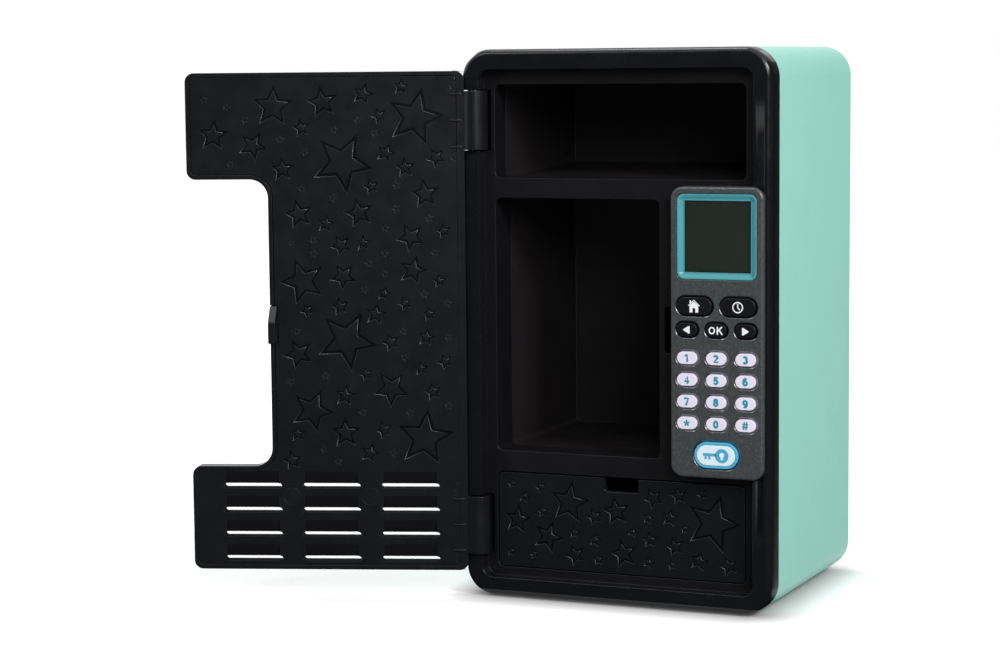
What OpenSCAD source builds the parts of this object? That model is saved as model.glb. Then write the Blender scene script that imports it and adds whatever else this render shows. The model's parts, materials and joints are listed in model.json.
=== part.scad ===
// Toy safe: a shell with a front frame, a swing door, a keypad console, two compartments and a drawer.
// X runs to the right as seen from the front, Y from front to rear, Z up. Sizes are in millimetres.
// The layout counts Y from the flat face of the bezel and Z from the underside of the shell.
// place() then brings the middle of the front foot's sole to the origin.
// The door is drawn closed and then swung open.

/* [Body] */
// Width over the shell
body_w = 165; // [156:1:190]
// Height of the shell
body_h = 280; // [270:1:320]
// Depth from the bezel to the back
body_d = 136; // [125:1:180]
// Radius of the long edges
corner_r = 15; // [13:1:22]
// Wall of the shell
shell_wall = 2.4; // [1.8:0.1:3]

/* [Front frame] */
// Depth of the bezel in front of the shell
bezel_depth = 12.9; // [12.4:0.1:16]
// Rounding of the outer front edge
bezel_round = 3; // [2:0.5:6]
// Width of the bezel at the sides and the bottom
bezel_side = 9.5; // [9:0.1:12]
// Width of the bezel at the top
bezel_top = 10.1; // [9:0.1:14]
// Depth of the recess that the door closes into
recess_depth = 7.6; // [7.4:0.1:8.5]
// Corner radius of the recess
recess_r = 5.5; // [5:0.1:6.5]
// Thickness of the plate behind the door
plate_t = 2.6; // [2:0.1:3]
// Thickness of the lips round the openings
lip_t = 1.8; // [1.4:0.1:2.2]
// Depth at which the lips end
lip_end = 21; // [18:0.5:24]
// Further depth of the lip of the main opening
main_lip_extra = 5.5; // [3:0.5:8]
// Play between parts that plug together
fit = 0.15; // [0.1:0.01:0.2]

/* [Compartments] */
// Flat land beside the openings
land_side = 5.85; // [4.5:0.05:7]
// Flat land under the drawer opening
land_bottom = 4.5; // [4:0.1:6]
// Flat land over the upper opening
land_top = 7.7; // [6:0.1:10]
// Corner radius of the openings
opening_r = 3; // [2:0.1:4]
// Height of the drawer opening
drawer_open_h = 49.9; // [44:0.1:54]
// Rail between drawer and main opening
rail_low = 10.8; // [10.5:0.1:13]
// Height of the main opening
main_open_h = 130; // [124:0.5:134]
// Rail between main and upper opening
rail_up = 10.2; // [10:0.1:12]
// Width of the pillar between the main opening and the console
pillar_w = 9.6; // [8.8:0.1:12]
// Wall of the tubs
tub_wall = 2.2; // [1.6:0.1:2.4]
// Depth of the back of the compartments, from the back of the shell
tub_back_gap = 26; // [25:0.5:32]
// Draft of the tub sides at the back
tub_draft = 2; // [0.5:0.1:2.5]
// Rise of the floor of the upper tub towards the back
upper_floor_rise = 4; // [1:0.1:5]

/* [Drawer] */
// Gap round the drawer front
drawer_gap = 0.6; // [0.4:0.05:0.8]
// Thickness of the drawer front
drawer_front_t = 2.4; // [2:0.1:3]
// Wall of the tray
tray_wall = 2; // [1.4:0.1:2.4]
// Gap between the tray and the back of its housing
tray_back_gap = 8.2; // [7.4:0.1:20]
// Width of the finger notch
notch_w = 18.5; // [14:0.5:24]
// Depth of the finger notch
notch_h = 6.9; // [5:0.1:10]
// Height of the runners
runner_h = 2; // [1.5:0.1:2.2]

/* [Door] */
// Thickness of the door
door_t = 8; // [7:0.1:8.2]
// How far the closed door stands clear of the plate
door_air = 0.6; // [0.5:0.05:0.8]
// Gap beside the door on the hinge side
door_gap_hinge = 3.7; // [3.2:0.1:4]
// Gap beside the door on the free side
door_gap_free = 0.8; // [0.7:0.1:2]
// Gap over the door
door_gap_top = 0.6; // [0.5:0.1:2]
// Gap under the door
door_gap_bottom = 3; // [1:0.1:5]
// Gap between the door and the console
door_gap_console = 1; // [0.9:0.1:1.5]
// Corner radius of the door
door_r = 4.6; // [4.4:0.1:6]
// Corner radius of the cut-out round the console
door_notch_r = 9.5; // [6:0.1:12]
// Width of the lip along the hinge edge of the door
hinge_lip_w = 1.7; // [1:0.1:1.8]
// Thickness of that lip
hinge_lip_t = 2; // [1.6:0.1:2.2]
// Wall and rim of the door shell
door_wall = 2.2; // [1.6:0.1:2.4]
// Thickness of the door liner
liner_t = 2; // [1.6:0.1:2.2]
// Depth of the stars pressed into the liner and the drawer front
star_depth = 0.4; // [0.2:0.05:0.6]
// Angle between the closed door and the open door as drawn
door_open = 160.4; // [90:0.1:168]

/* [Vents] */
// Columns of vents in the door
vent_cols = 3; // [2:1:3]
// Rows of vents in the door
vent_rows = 4; // [2:1:4]
// Length of a vent slit
vent_l = 30.6; // [20:0.1:32]
// Height of a vent slit
vent_h = 2.5; // [1.2:0.1:2.6]
// Height of the hollow over a slit
vent_hollow_h = 6.3; // [4:0.1:7]
// Spacing of the rows
vent_pitch = 12.7; // [11:0.1:13]

/* [Hinges] */
// Radius of the hinge barrels
barrel_r = 6.5; // [6:0.1:6.6]
// Length of a hinge barrel
barrel_l = 29.8; // [24:0.1:34]
// Distance of the hinge axis from the side of the shell
axis_in = 6.3; // [5.8:0.1:6.4]
// Depth of the hinge axis behind the bezel face
axis_depth = 3; // [3:0.1:3.2]
// Radius of the hinge pins
pin_r = 1.5; // [1.2:0.1:1.8]
// Play of the barrel on its pin
pin_play = 0.05; // [0.03:0.01:0.08]
// Distance of the upper barrel from the top of the recess
barrel_top_in = 10.8; // [10.5:0.1:20]
// Distance of the lower barrel from the bottom of the recess
barrel_bottom_in = 11.8; // [11:0.1:20]

/* [Console] */
// Width of the console
console_w = 48.2; // [47.5:0.1:50]
// Height of the console
console_h = 143.8; // [142:0.1:146]
// How far the console stands in front of the bezel
console_out = 3; // [2.6:0.1:4]
// Distance of the console from the side of the shell
console_side = 3; // [2.8:0.1:3.4]
// Height of the console over the drawer opening
console_lift = 4.3; // [3:0.1:6]
// Corner radius of the console
console_r = 6; // [4:0.1:7]
// Thickness of the console face
face_t = 2.2; // [2:0.1:2.4]
// Width of the opening for the screen surround
screen_w = 41.3; // [38:0.1:41.5]
// Gap between the home keys and the opening for the screen surround
screen_over_keys = 8.75; // [7:0.05:12]
// Width of the sloping screen surround
surround_w = 3.3; // [2.5:0.1:4]
// Distance of the screen opening from the console top
screen_down = 3.3; // [3:0.1:5]

/* [Keys] */
// Width of a number key
key_w = 10.4; // [9:0.1:12]
// Height of a number key
key_h = 6.2; // [5.6:0.1:7.4]
// Column spacing of the keys
key_pitch_x = 15.15; // [14:0.05:15.3]
// Row spacing of the number keys as a share of the console height
key_pitch_share = 0.0751; // [0.072:0.0001:0.076]
// Height of the first number row as a share of the console height
number_share = 0.4138; // [0.41:0.0001:0.42]
// Height of the arrow row as a share of the console height
arrow_share = 0.5111; // [0.507:0.0001:0.512]
// Height of the home row as a share of the console height
home_share = 0.5925; // [0.592:0.0001:0.6]
// Height of the unlock key as a share of the console height
unlock_share = 0.0807; // [0.07:0.0001:0.083]
// How far the keys stand out of the face
key_out = 1; // [0.7:0.1:1.5]
// Travel of a key
key_travel = 1; // [0.6:0.1:1.1]
// Play round a key
key_play = 0.3; // [0.2:0.05:0.4]

/* [Latch] */
// Height of the latch slot over the console bottom
slot_up = 59.9; // [56:0.1:66]
// Height of the latch slot
slot_h = 23.3; // [23:0.1:26]
// Thickness of the latch hook
hook_t = 4; // [3:0.1:4.2]
// Height of the latch hook
hook_h = 19; // [17:0.1:20]
// How far the latch hook stands out of the closed door
hook_out = 8; // [7.8:0.1:9]
// Travel of the latch bolt
bolt_travel = 7; // [6.6:0.1:7.2]

/* [Battery] */
// Radius of a cell
cell_r = 7.1; // [6.9:0.05:7.2]
// Length of a cell without its nub
cell_l = 49.5; // [49:0.1:50]
// Number of cells
cells = 3; // [2:1:3]
// Height of the lowest edge of the battery opening
battery_up = 85; // [80:1:100]

/* [Feet] */
// Width of a foot strip
foot_w = 12; // [8:0.5:16]
// Height of a foot strip
foot_h = 1; // [0.8:0.1:2]

/* [Hidden] */
$fn = 48;

// Through cuts run past both faces by this much
past = 1;

// Edges of the recess, the openings and the console
half_w = body_w / 2;
recess_x = half_w - bezel_side;
recess_z0 = bezel_side;
recess_z1 = body_h - bezel_top;
plate_back = recess_depth + plate_t;
open_x = recess_x - land_side;
drawer_z0 = recess_z0 + land_bottom;
drawer_z1 = drawer_z0 + drawer_open_h;
main_z0 = drawer_z1 + rail_low;
main_z1 = main_z0 + main_open_h;
upper_z0 = main_z1 + rail_up;
upper_z1 = recess_z1 - land_top;
console_x1 = half_w - console_side;
console_x0 = console_x1 - console_w;
console_x = (console_x0 + console_x1) / 2;
console_z0 = drawer_z1 + console_lift;
console_z1 = console_z0 + console_h;
main_x1 = console_x0 - pillar_w;
main_lip_end = lip_end + main_lip_extra;
back_inside = body_d - shell_wall;
tub_back = body_d - tub_back_gap;

// The bezel carries a spigot that plugs into the shell
spigot_t = 1.8;
spigot_in = shell_wall + fit;
spigot_end = 20;
ring_wall = spigot_in + spigot_t;
inner_wall = 2.4;

// Hinges
axis_x = axis_in - half_w;
hinge_sweep_r = 8.2;
hinge_wall = 1.6;
barrel_play = 0.4;
pin_boss_l = 10;
pin_end_gap = 1;
pin_fit = 0.02;
upper_barrel_z1 = recess_z1 - barrel_top_in;
upper_barrel_z0 = upper_barrel_z1 - barrel_l;
lower_barrel_z0 = recess_z0 + barrel_bottom_in;
lower_barrel_z1 = lower_barrel_z0 + barrel_l;

// Drawer
notch_x = 1;
runner_x = 51;
stop_x = 40;
stop_l = 20;
stop_y0 = recess_depth + drawer_front_t + 0.3;
stop_y1 = stop_y0 + 4;
stop_play = 0.5;
tray_back = tub_back - tray_back_gap;
drawer_travel = tray_back - tray_wall - stop_play - stop_y1;

// Door
door_in = recess_depth - door_air;
door_out = door_in - door_t;
door_x0 = door_gap_hinge - recess_x;
door_x1 = recess_x - door_gap_free;
door_z0 = recess_z0 + door_gap_bottom;
door_z1 = recess_z1 - door_gap_top;
door_notch_x = console_x0 - door_gap_console;
door_notch_z0 = console_z0 - 1.6;
door_notch_z1 = console_z1 + 2.9;
door_face_back = door_out + door_wall;
liner_front = door_in - 0.2;
liner_back = liner_front - liner_t;
stake_r = 2;
plug_r = 4.4;
plug_t = 0.9;
door_screw_floor = 1.5;
door_screw_r = 1.25;
door_screw_head_r = 2.7;
door_screw_up = 38.5;
door_screw_z = door_z0 + door_screw_up;
door_screw_x = [-20.5, 20.5];
vent_pitch_x = 41;
vent_z = door_z0 + 5.7;
stake_in = 3.1;
rib_h = 0.4;
rib_w = 1;
rib_l = 5.5;

// Screws, bosses and ears
screw_r = 1.1;
screw_bore = screw_r + 0.05;
screw_head_r = 2.4;
screw_head_t = 1.5;
post_r = 2.6;
ear_t = 2;
shell_screw_r = 1.4;
shell_post_r = 4;
well_r = 3.6;
well_wall = 1.6;
well_depth = 6;
well_floor = 2;
ear_r = 2.8;
ear_off = tub_wall + screw_head_r + 0.3;

// Tub screws: x, z, direction of the tub from the screw
upper_ears = [
  [-50, upper_z1 + ear_off, -1], [50, upper_z1 + ear_off, -1],
  [-58, upper_z0 - ear_off, 1], [50, upper_z0 - ear_off, 1]
];
main_ears = [
  [-30, main_z1 + ear_off, -1], [10, main_z1 + ear_off, -1],
  [-55, main_z0 - ear_off, 1], [8, main_z0 - ear_off, 1]
];
drawer_ears = [
  [-30, drawer_z1 + ear_off, -1], [26, drawer_z1 + ear_off, -1],
  [-40, drawer_z0 - ear_off, 1], [40, drawer_z0 - ear_off, 1]
];
liner_screw_in = 7.8;
post_x = 50;
post_up = 24;

// Console stack, from the face to the plate
face_front = -console_out;
face_back = face_front + face_t;
console_wall = 2;
console_wall_right = 1.2;
body_x1 = console_x1 - 1.7;
pocket_x1 = body_x1 + 0.2;
body_in = 1.7;
key_flange_t = 1;
key_flange_w = 0.8;
key_pitch_z = key_pitch_share * console_h;
home_key_w = 18;
home_key_h = 8.7;
home_key_off = 11.3;
unlock_key_w = 22.7;
unlock_key_h = 12.9;
key_seat = 0.2;
key_back = face_back + key_seat + key_flange_t;
dome_front = key_back + key_travel + 0.3;
dome_r = 3;
membrane_front = dome_front + 0.6;
board_front = membrane_front + 0.8;
board_back = board_front + 1.6;
base_t = 2;
base_front = recess_depth - base_t;
surround_front = face_front + 0.1;
ledge_w = 1.5;
ledge_front = face_front + 1.6;
window_t = 1;
screen_x0 = console_x - screen_w / 2;
screen_x1 = console_x + screen_w / 2;
screen_z1 = console_z1 - screen_down;
screen_z0 = home_z() + home_key_h / 2 + screen_over_keys;
screen_r = 3;
boss_r = 2.3;
console_screw_r = 1;
console_boss_in = 2;
console_boss_z = [console_z0 + 5, home_z() + 9];
wire_hole_r = 5;
wire_hole_up = 32;
stand_x = 12;
stand_z = 20;

// Latch
slot_z0 = console_z0 + slot_up;
slot_z1 = slot_z0 + slot_h;
hook_x1 = door_notch_x;
hook_x0 = hook_x1 - hook_t;
slot_play = 1.8;
slot_r = 1.5;
hook_z0 = slot_z0 + 2.9;
hook_z1 = hook_z0 + hook_h;
hook_tip = door_in + hook_out;
hook_slope = 8;
hook_foot_l = 9;
hook_foot_margin = 3;
bolt_t = 2;
bolt_h = 5;
bolt_y0 = plate_back + 1.2;
bolt_y1 = bolt_y0 + bolt_t;
bolt_z = hook_z0 + 5.5;
bolt_tip_x = hook_x0 - 1.8 + bolt_travel;
bolt_reach = 21.5;
bolt_lug_x = bolt_tip_x + bolt_reach;
bolt_lug_t = 2;
window_play = 0.4;
housing_x0 = console_x0 + 1.7;
housing_wall = 2;
housing_front_wall = 1.1;
coil_y = bolt_y1 + 4.1;
coil_r = 6;
coil_l = 14;
plunger_r = 2;
plunger_l = 17;
coil_x0 = bolt_lug_x + bolt_lug_t + plunger_l - coil_l + 2;
coil_x1 = coil_x0 + coil_l;
housing_x1 = coil_x1 + 0.5 + housing_wall;
housing_y1 = coil_y + coil_r + 0.7 + housing_wall;
housing_half_h = coil_r + 1.2 + housing_wall;

// Battery
cell_pitch = 2 * cell_r + 1.3;
battery_in_x = 28;
battery_in_z0 = battery_up + 2;
battery_in_z1 = battery_in_z0 + cells * cell_pitch + 1;
battery_open_x = battery_in_x + 2;
lid_tab_h = 10;
battery_open_z1 = battery_in_z1 + lid_tab_h;
battery_open_r = 2;
battery_wall = 1.6;
battery_floor = back_inside - 2 * cell_r - 1.2;
cell_y = battery_floor + cell_r + 0.2;
nub_r = 2.7;
nub_l = 1;
hook_tab_x = 14;
hook_tab_w = 8;
hook_tab_l = 3;
contact_w = 6;
contact_half = 6;
contact_t = 1;
lid_boss_r = 3.5;
lid_boss_in = 2;
lid_bore_in = 4;
lid_screw_in = 6;
battery_screw_z = battery_in_z1 + 5.5;
flange_t = 2;
flange_w = 4;

// Speaker
speaker_x = half_w - 30;
cone_r = 5;
surround_r = 12.4;
magnet_r = 7.5;
speaker_z = 110;
speaker_r = 14;
speaker_t = 5;
grille_r = 1.1;
grille_pitch = 4.6;
grille_rings = 2;

// Feet
foot_x = half_w - corner_r - 2;
foot_front_in = 12.1;
foot_rear_in = 18;
foot_y = [bezel_depth + foot_front_in, body_d - foot_rear_in];

// Colours
mint = [0.58, 0.82, 0.75];
black = [0.09, 0.10, 0.11];
ink = [0.12, 0.14, 0.16];
grey = [0.42, 0.43, 0.44];
teal = [0.25, 0.60, 0.65];
pale = [0.88, 0.87, 0.91];
steel = [0.72, 0.73, 0.75];

// Stars on the door liner: x from the middle of the body, z from the base, radius, tilt
door_stars = [
  [27, 252, 10.5, -3], [1.5, 254, 8, 9], [-19.5, 258, 5.5, -16], [-39, 261.5, 4, -5],
  [-46, 246, 15, -14], [58, 237.5, 8, -4], [37.5, 232, 7.5, -28], [12.5, 241, 4.5, 10],
  [-8.5, 223, 16, -28], [22.5, 220, 6, 3], [-27.5, 247, 4, 20], [-31, 228, 5, -20],
  [-40.5, 220.5, 5, 5], [-56.5, 225.5, 5, 30], [-23, 211, 4, 15], [-50.5, 207, 7.5, 7],
  [14.5, 197, 7.5, 13], [0.5, 192, 4.5, -10], [-16.5, 197.5, 7.5, 14], [-43, 185, 7.5, 28],
  [-7, 181, 5.5, 28], [-18.5, 182, 4, 0], [13, 162.5, 12, 19], [-8, 165, 7, 32],
  [-44, 168, 7.5, -15], [-6, 149.5, 4.5, 10], [-24.5, 145.5, 5.5, -10], [-39.5, 151, 3.5, 20],
  [-29, 156, 3.5, -15], [-57.5, 162.5, 3.5, 5], [-60, 188, 3.5, 12], [-9.5, 132, 16, -28],
  [-32, 131, 4.5, 18], [-50.5, 133.5, 4.5, -12], [-52, 145.5, 3.5, 8], [16, 125, 8, 24],
  [-47.5, 117.5, 3.5, 0], [-60, 121, 4, 25], [-19, 114.5, 3.5, 15], [-32, 107, 9.5, 34],
  [-8, 103.5, 5.5, -8], [-53.5, 105.5, 4.5, 12], [9, 95.5, 11.5, -23], [-8, 84, 8, 2],
  [-28, 85.5, 4.5, 20], [-49, 81.5, 15, -7], [17, 83.5, 4, 0], [-20.5, 73.5, 5, -18],
  [20, 69.5, 5, 10], [11, 147.5, 3.5, 30]
];

// Stars on the drawer front: x, z, radius, tilt
drawer_stars = [
  [-59.5, 57.5, 2.5, 10], [-52.5, 51, 3, -15], [-43.5, 56.5, 3, 20], [-27.5, 49.5, 11, -8],
  [-56.5, 39, 7.6, -7], [-42.5, 44, 3, 5], [-39.5, 31, 8.5, -20], [-25, 34, 3, 0],
  [-14, 43, 4.5, 18], [-13.5, 31, 3.5, -10], [-2, 46.5, 7.5, 10], [-24.5, 22.5, 5.5, 25],
  [-60, 22, 2.5, -5], [-47.5, 21.5, 2.5, 15], [-12, 21, 3, 8], [2, 25, 7.5, 14],
  [7, 36.5, 2.5, -20], [16, 33, 4, 6], [15.5, 44, 3, -12], [18, 54.5, 5.5, 28],
  [31.5, 56.5, 4.5, 12], [27, 45, 4.5, -8], [44, 58, 3, 22], [35, 40, 2.5, 0],
  [50, 43.5, 15.3, -16], [29.5, 30.5, 5, 16], [15.5, 21.5, 3, -18], [28, 21, 2.5, 10],
  [42.5, 24, 5, -14], [58, 22.5, 5, 20]
];

function row_z(share) = console_z0 + share * console_h;
function home_z() = row_z(home_share);

// Brings the middle of the front foot's sole to the origin
module place() translate([0, -foot_y[0], foot_h]) children();

// Swings the closed door to where it is drawn
module swing() translate([axis_x, axis_depth, 0]) rotate([0, 0, -door_open])
  translate([-axis_x, -axis_depth, 0]) children();

// A box between two corners given as spans
module block(x, y, z) translate([x[0], y[0], z[0]]) cube([x[1] - x[0], y[1] - y[0], z[1] - z[0]]);

// An outline in x and z carried from y0 to y1
module along_y(y0, y1) translate([0, y1, 0]) rotate([90, 0, 0]) linear_extrude(y1 - y0) children();

// An outline in y and z carried from x0 to x1
module along_x(x0, x1) translate([x0, 0, 0]) rotate([90, 0, 90]) linear_extrude(x1 - x0) children();

module rod_x(y, z, r, x0, x1) translate([x0, y, z]) rotate([0, 90, 0]) cylinder(r = r, h = x1 - x0);
module rod_y(x, z, r, y0, y1) translate([x, y1, z]) rotate([90, 0, 0]) cylinder(r = r, h = y1 - y0);
module rod_z(x, y, r, z0, z1) translate([x, y, z0]) cylinder(r = r, h = z1 - z0);

// A rectangle with rounded corners between two corners
module rounded(x0, x1, z0, z1, r) {
  translate([x0 + r, z0]) square([x1 - x0 - 2 * r, z1 - z0]);
  translate([x0, z0 + r]) square([x1 - x0, z1 - z0 - 2 * r]);
  for (x = [x0 + r, x1 - r], z = [z0 + r, z1 - r]) translate([x, z]) circle(r);
}

// A rounded rectangle with all four sides moved in by d
module inset(x0, x1, z0, z1, r, d) rounded(x0 + d, x1 - d, z0 + d, z1 - d, r - d);

module body_outline(d) inset(-half_w, half_w, 0, body_h, corner_r, d);
module recess_outline(d) inset(-recess_x, recess_x, recess_z0, recess_z1, recess_r, d);
module drawer_outline(d) inset(-open_x, open_x, drawer_z0, drawer_z1, opening_r, d);
module main_outline(d) inset(-open_x, main_x1, main_z0, main_z1, opening_r, d);
module upper_outline(d) inset(-open_x, open_x, upper_z0, upper_z1, opening_r, d);

// A profile of outward offset and depth carried round a rounded rectangle
module carried_round(x0, x1, z0, z1, r) {
  for (s = [0, 1]) {
    translate([s * (x0 + x1), 0, z0 + r]) mirror([s, 0, 0]) translate([x1, 0, 0])
      linear_extrude(z1 - z0 - 2 * r) children();
    translate([x1 - r, 0, s * (z0 + z1)]) mirror([0, 0, s]) translate([0, 0, z1])
      rotate([0, -90, 0]) linear_extrude(x1 - x0 - 2 * r) children();
  }
  for (q = [[x1 - r, z0 + r, 0], [x0 + r, z0 + r, 90], [x0 + r, z1 - r, 180], [x1 - r, z1 - r, 270]])
    translate([q[0], 0, q[1]]) rotate([-90, q[2], 0])
      rotate_extrude(angle = 90) translate([r, 0]) children();
}

// A quarter round for a front edge
module quarter_round(r, y) intersection() {
  translate([-r, y + r]) circle(r);
  translate([-r, y]) square(r);
}

// A slab with a rounded front edge
module soft_slab(x0, x1, z0, z1, r, y0, y1, edge) {
  along_y(y0 + edge, y1) rounded(x0, x1, z0, z1, r);
  along_y(y0, y0 + edge) inset(x0, x1, z0, z1, r, edge);
  carried_round(x0, x1, z0, z1, r) quarter_round(edge, y0);
}

// A screw with its head at the rear
module screw(x, z, shank_r, y0, y1, head_r, head_t) {
  rod_y(x, z, shank_r, y0, y1);
  rod_y(x, z, head_r, y1, y1 + head_t);
}

// The outline of a five-pointed star as a ring of the given width
module star_points(r) polygon([
  for (i = [0 : 9]) (i % 2 == 0 ? r : r * 0.45) * [sin(i * 36), cos(i * 36)]
]);
module star_ring(s) translate([s[0], s[1]]) rotate(s[3]) difference() {
  star_points(s[2]);
  star_points(s[2] * (s[2] > 9 ? 0.8 : 0.72));
}

// Shell and front frame

module outer_shell() color(mint) place() difference() {
  union() {
    difference() {
      along_y(bezel_depth, body_d) body_outline(0);
      along_y(bezel_depth - past, back_inside) body_outline(shell_wall);
    }
    for (p = shell_screw_spots())
      rod_y(p[0], p[1], well_r + well_wall, body_d - well_depth - well_floor, body_d - past);
    rod_y(speaker_x, speaker_z, speaker_r + fit + well_wall, back_inside - speaker_t, back_inside + past);
  }
  for (p = shell_screw_spots()) {
    rod_y(p[0], p[1], well_r, body_d - well_depth, body_d + past);
    rod_y(p[0], p[1], shell_screw_r + 0.2, body_d - well_depth - well_floor - past, body_d);
  }
  rod_y(speaker_x, speaker_z, speaker_r + fit, back_inside - speaker_t - past, back_inside);
  for (p = grille_spots())
    rod_y(speaker_x + p[0], speaker_z + p[1], grille_r, back_inside - past, body_d + past);
  along_y(back_inside - past, body_d + past)
    rounded(-battery_open_x, battery_open_x, battery_up, battery_open_z1, battery_open_r);
}

function shell_screw_spots() = [
  for (z = [upper_z0, drawer_z0], s = [-1, 1]) [s * post_x, z + post_up]
];
function grille_spots() = [
  [0, 0],
  for (ring = [1 : grille_rings], i = [0 : 6 * ring - 1])
    ring * grille_pitch * [cos(i * 60 / ring), sin(i * 60 / ring)]
];

module bezel() soft_slab(-half_w, half_w, 0, body_h, corner_r, 0, bezel_depth, bezel_round);

// Solid ends of the hinge notches that hold the pins
module pin_bosses(z0, z1) for (z = [[z0 - barrel_play - pin_boss_l, z0 - barrel_play],
    [z1 + barrel_play, z1 + barrel_play + pin_boss_l]])
  block([-half_w - past, -recess_x], [-past, plate_back + 2 * past], z);

// The curved wall behind a hinge barrel
module hinge_cup(z0, z1) intersection() {
  rod_z(axis_x, axis_depth, hinge_sweep_r + hinge_wall, z0 - 2, z1 + 2);
  union() {
    block([-half_w, -recess_x], [axis_depth, bezel_depth], [z0 - 2, z1 + 2]);
    block([-recess_x - past, 0], [recess_depth, bezel_depth], [z0 - 2, z1 + 2]);
  }
}

// The space that a hinge barrel turns in
module hinge_space(z0, z1) {
  rod_z(axis_x, axis_depth, hinge_sweep_r, z0 - barrel_play, z1 + barrel_play);
  block([-half_w - past, axis_x + hinge_sweep_r], [-past, axis_depth],
    [z0 - barrel_play, z1 + barrel_play]);
}

// The groove behind the bezel, closed at the hinge pins and beside the console
module ring_groove() difference() {
  along_y(inner_wall, plate_back + past) difference() {
    body_outline(ring_wall);
    recess_outline(-inner_wall);
  }
  pin_bosses(upper_barrel_z0, upper_barrel_z1);
  pin_bosses(lower_barrel_z0, lower_barrel_z1);
  block([recess_x, half_w], [-past, plate_back + 2 * past], [console_z0 - 2, console_z1 + 2]);
}

module front_frame() color(black) place() difference() {
  union() {
    difference() {
      bezel();
      along_y(-past, recess_depth) recess_outline(0);
      along_y(plate_back, bezel_depth + past) body_outline(ring_wall);
      ring_groove();
    }
    along_y(bezel_depth - past, spigot_end) difference() {
      body_outline(spigot_in);
      body_outline(ring_wall);
    }
    along_y(recess_depth, lip_end) upper_outline(-lip_t);
    along_y(recess_depth, lip_end) drawer_outline(-lip_t);
    along_y(recess_depth, main_lip_end) main_outline(-lip_t);
    hinge_cup(upper_barrel_z0, upper_barrel_z1);
    hinge_cup(lower_barrel_z0, lower_barrel_z1);
    for (p = concat(upper_ears, drawer_ears)) rod_y(p[0], p[1], post_r, recess_depth, lip_end);
    for (p = main_ears) rod_y(p[0], p[1], post_r, recess_depth, main_lip_end);
  }
  along_y(recess_depth - past, lip_end + past) upper_outline(0);
  along_y(recess_depth - past, main_lip_end + past) main_outline(0);
  difference() {
    along_y(recess_depth - past, lip_end + past) drawer_outline(0);
    drawer_stops();
    drawer_runners(plate_back, lip_end);
  }
  along_y(recess_depth - past, plate_back + past)
    rounded(hook_x0 - slot_play, hook_x1, slot_z0, slot_z1, slot_r);
  block([hook_x0, console_x0 + 2], [recess_depth - past, plate_back + past], [slot_z0, slot_z1]);
  block([recess_x - past, pocket_x1], [-past, recess_depth],
    [console_z0 + body_in - 0.2, console_z1 - body_in + 0.2]);
  hinge_space(upper_barrel_z0, upper_barrel_z1);
  hinge_space(lower_barrel_z0, lower_barrel_z1);
  for (z = [[upper_barrel_z0, upper_barrel_z1], [lower_barrel_z0, lower_barrel_z1]])
    rod_z(axis_x, axis_depth, pin_r + pin_fit, z[0] - barrel_play - pin_boss_l - past,
      z[1] + barrel_play + pin_boss_l + past);
  for (p = concat(upper_ears, drawer_ears))
    rod_y(p[0], p[1], screw_bore, lip_end - liner_screw_in - past, lip_end + past);
  for (p = main_ears)
    rod_y(p[0], p[1], screw_bore, main_lip_end - liner_screw_in - past, main_lip_end + past);
  for (p = console_screw_spots())
    rod_y(p[0], p[1], console_screw_r + 0.2, recess_depth - past, plate_back + past);
  for (p = lock_screw_spots()) rod_y(p[0], p[1], screw_bore, recess_depth + 0.6, plate_back + past);
  rod_y(console_x, console_z0 + wire_hole_up, wire_hole_r, recess_depth - past, plate_back + past);
}

// Bars over the tray that stop it at both ends of its travel
module drawer_stops() for (s = [-1, 1])
  block([s * stop_x - stop_l / 2, s * stop_x + stop_l / 2], [stop_y0, stop_y1],
    [drawer_z1 - 2.7, drawer_z1 + past]);

// Runners under the tray
module drawer_runners(y0, y1) for (s = [-1, 1])
  block([s * runner_x - 1.5, s * runner_x + 1.5], [y0, y1], [drawer_z0 - past, drawer_z0 + runner_h]);

// Tubs

// Flange tabs with screw holes
module ears(spots, y) difference() {
  for (p = spots) {
    rod_y(p[0], p[1], ear_r, y, y + ear_t);
    along_y(y, y + ear_t) translate([p[0] - ear_r, p[2] > 0 ? p[1] : p[1] - ear_off + 0.5])
      square([2 * ear_r, ear_off - 0.5]);
  }
  for (p = spots) rod_y(p[0], p[1], screw_r + 0.2, y - past, y + ear_t + past);
}

// An open-fronted tub that narrows towards the back
// front and back are the inner x and z spans at each end
module tub(front, back, y0) difference() {
  hull() {
    along_y(y0, y0 + 0.1) tub_outline(front, tub_wall);
    along_y(tub_back + tub_wall - 0.1, tub_back + tub_wall) tub_outline(back, tub_wall);
  }
  hull() {
    along_y(y0 - 0.1, y0) tub_outline(front, 0);
    along_y(tub_back - 0.1, tub_back) tub_outline(back, 0);
  }
}
module tub_outline(span, d)
  rounded(span[0] - d, span[1] + d, span[2] - d, span[3] + d, opening_r, $fn = 24);

// Hollow posts that take the shell screws
module shell_posts(z) for (s = [-1, 1]) difference() {
  rod_y(s * post_x, z, shell_post_r, tub_back + tub_wall - 0.2, body_d - well_depth - well_floor);
  rod_y(s * post_x, z, shell_screw_r + 0.05, tub_back + tub_wall + 2, body_d - well_depth);
}

module upper_liner() color(black) place() {
  tub([-open_x, open_x, upper_z0, upper_z1],
    [tub_draft - open_x, open_x - tub_draft, upper_z0 + upper_floor_rise, upper_z1 - 1], lip_end);
  ears(upper_ears, lip_end);
  shell_posts(upper_z0 + post_up);
}

module main_liner() color(black) place() {
  tub([-open_x, main_x1, main_z0, main_z1],
    [tub_draft - open_x, main_x1 - tub_draft, main_z0 + 1.3, main_z1 - 1.3], main_lip_end);
  ears(main_ears, main_lip_end);
}

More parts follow.
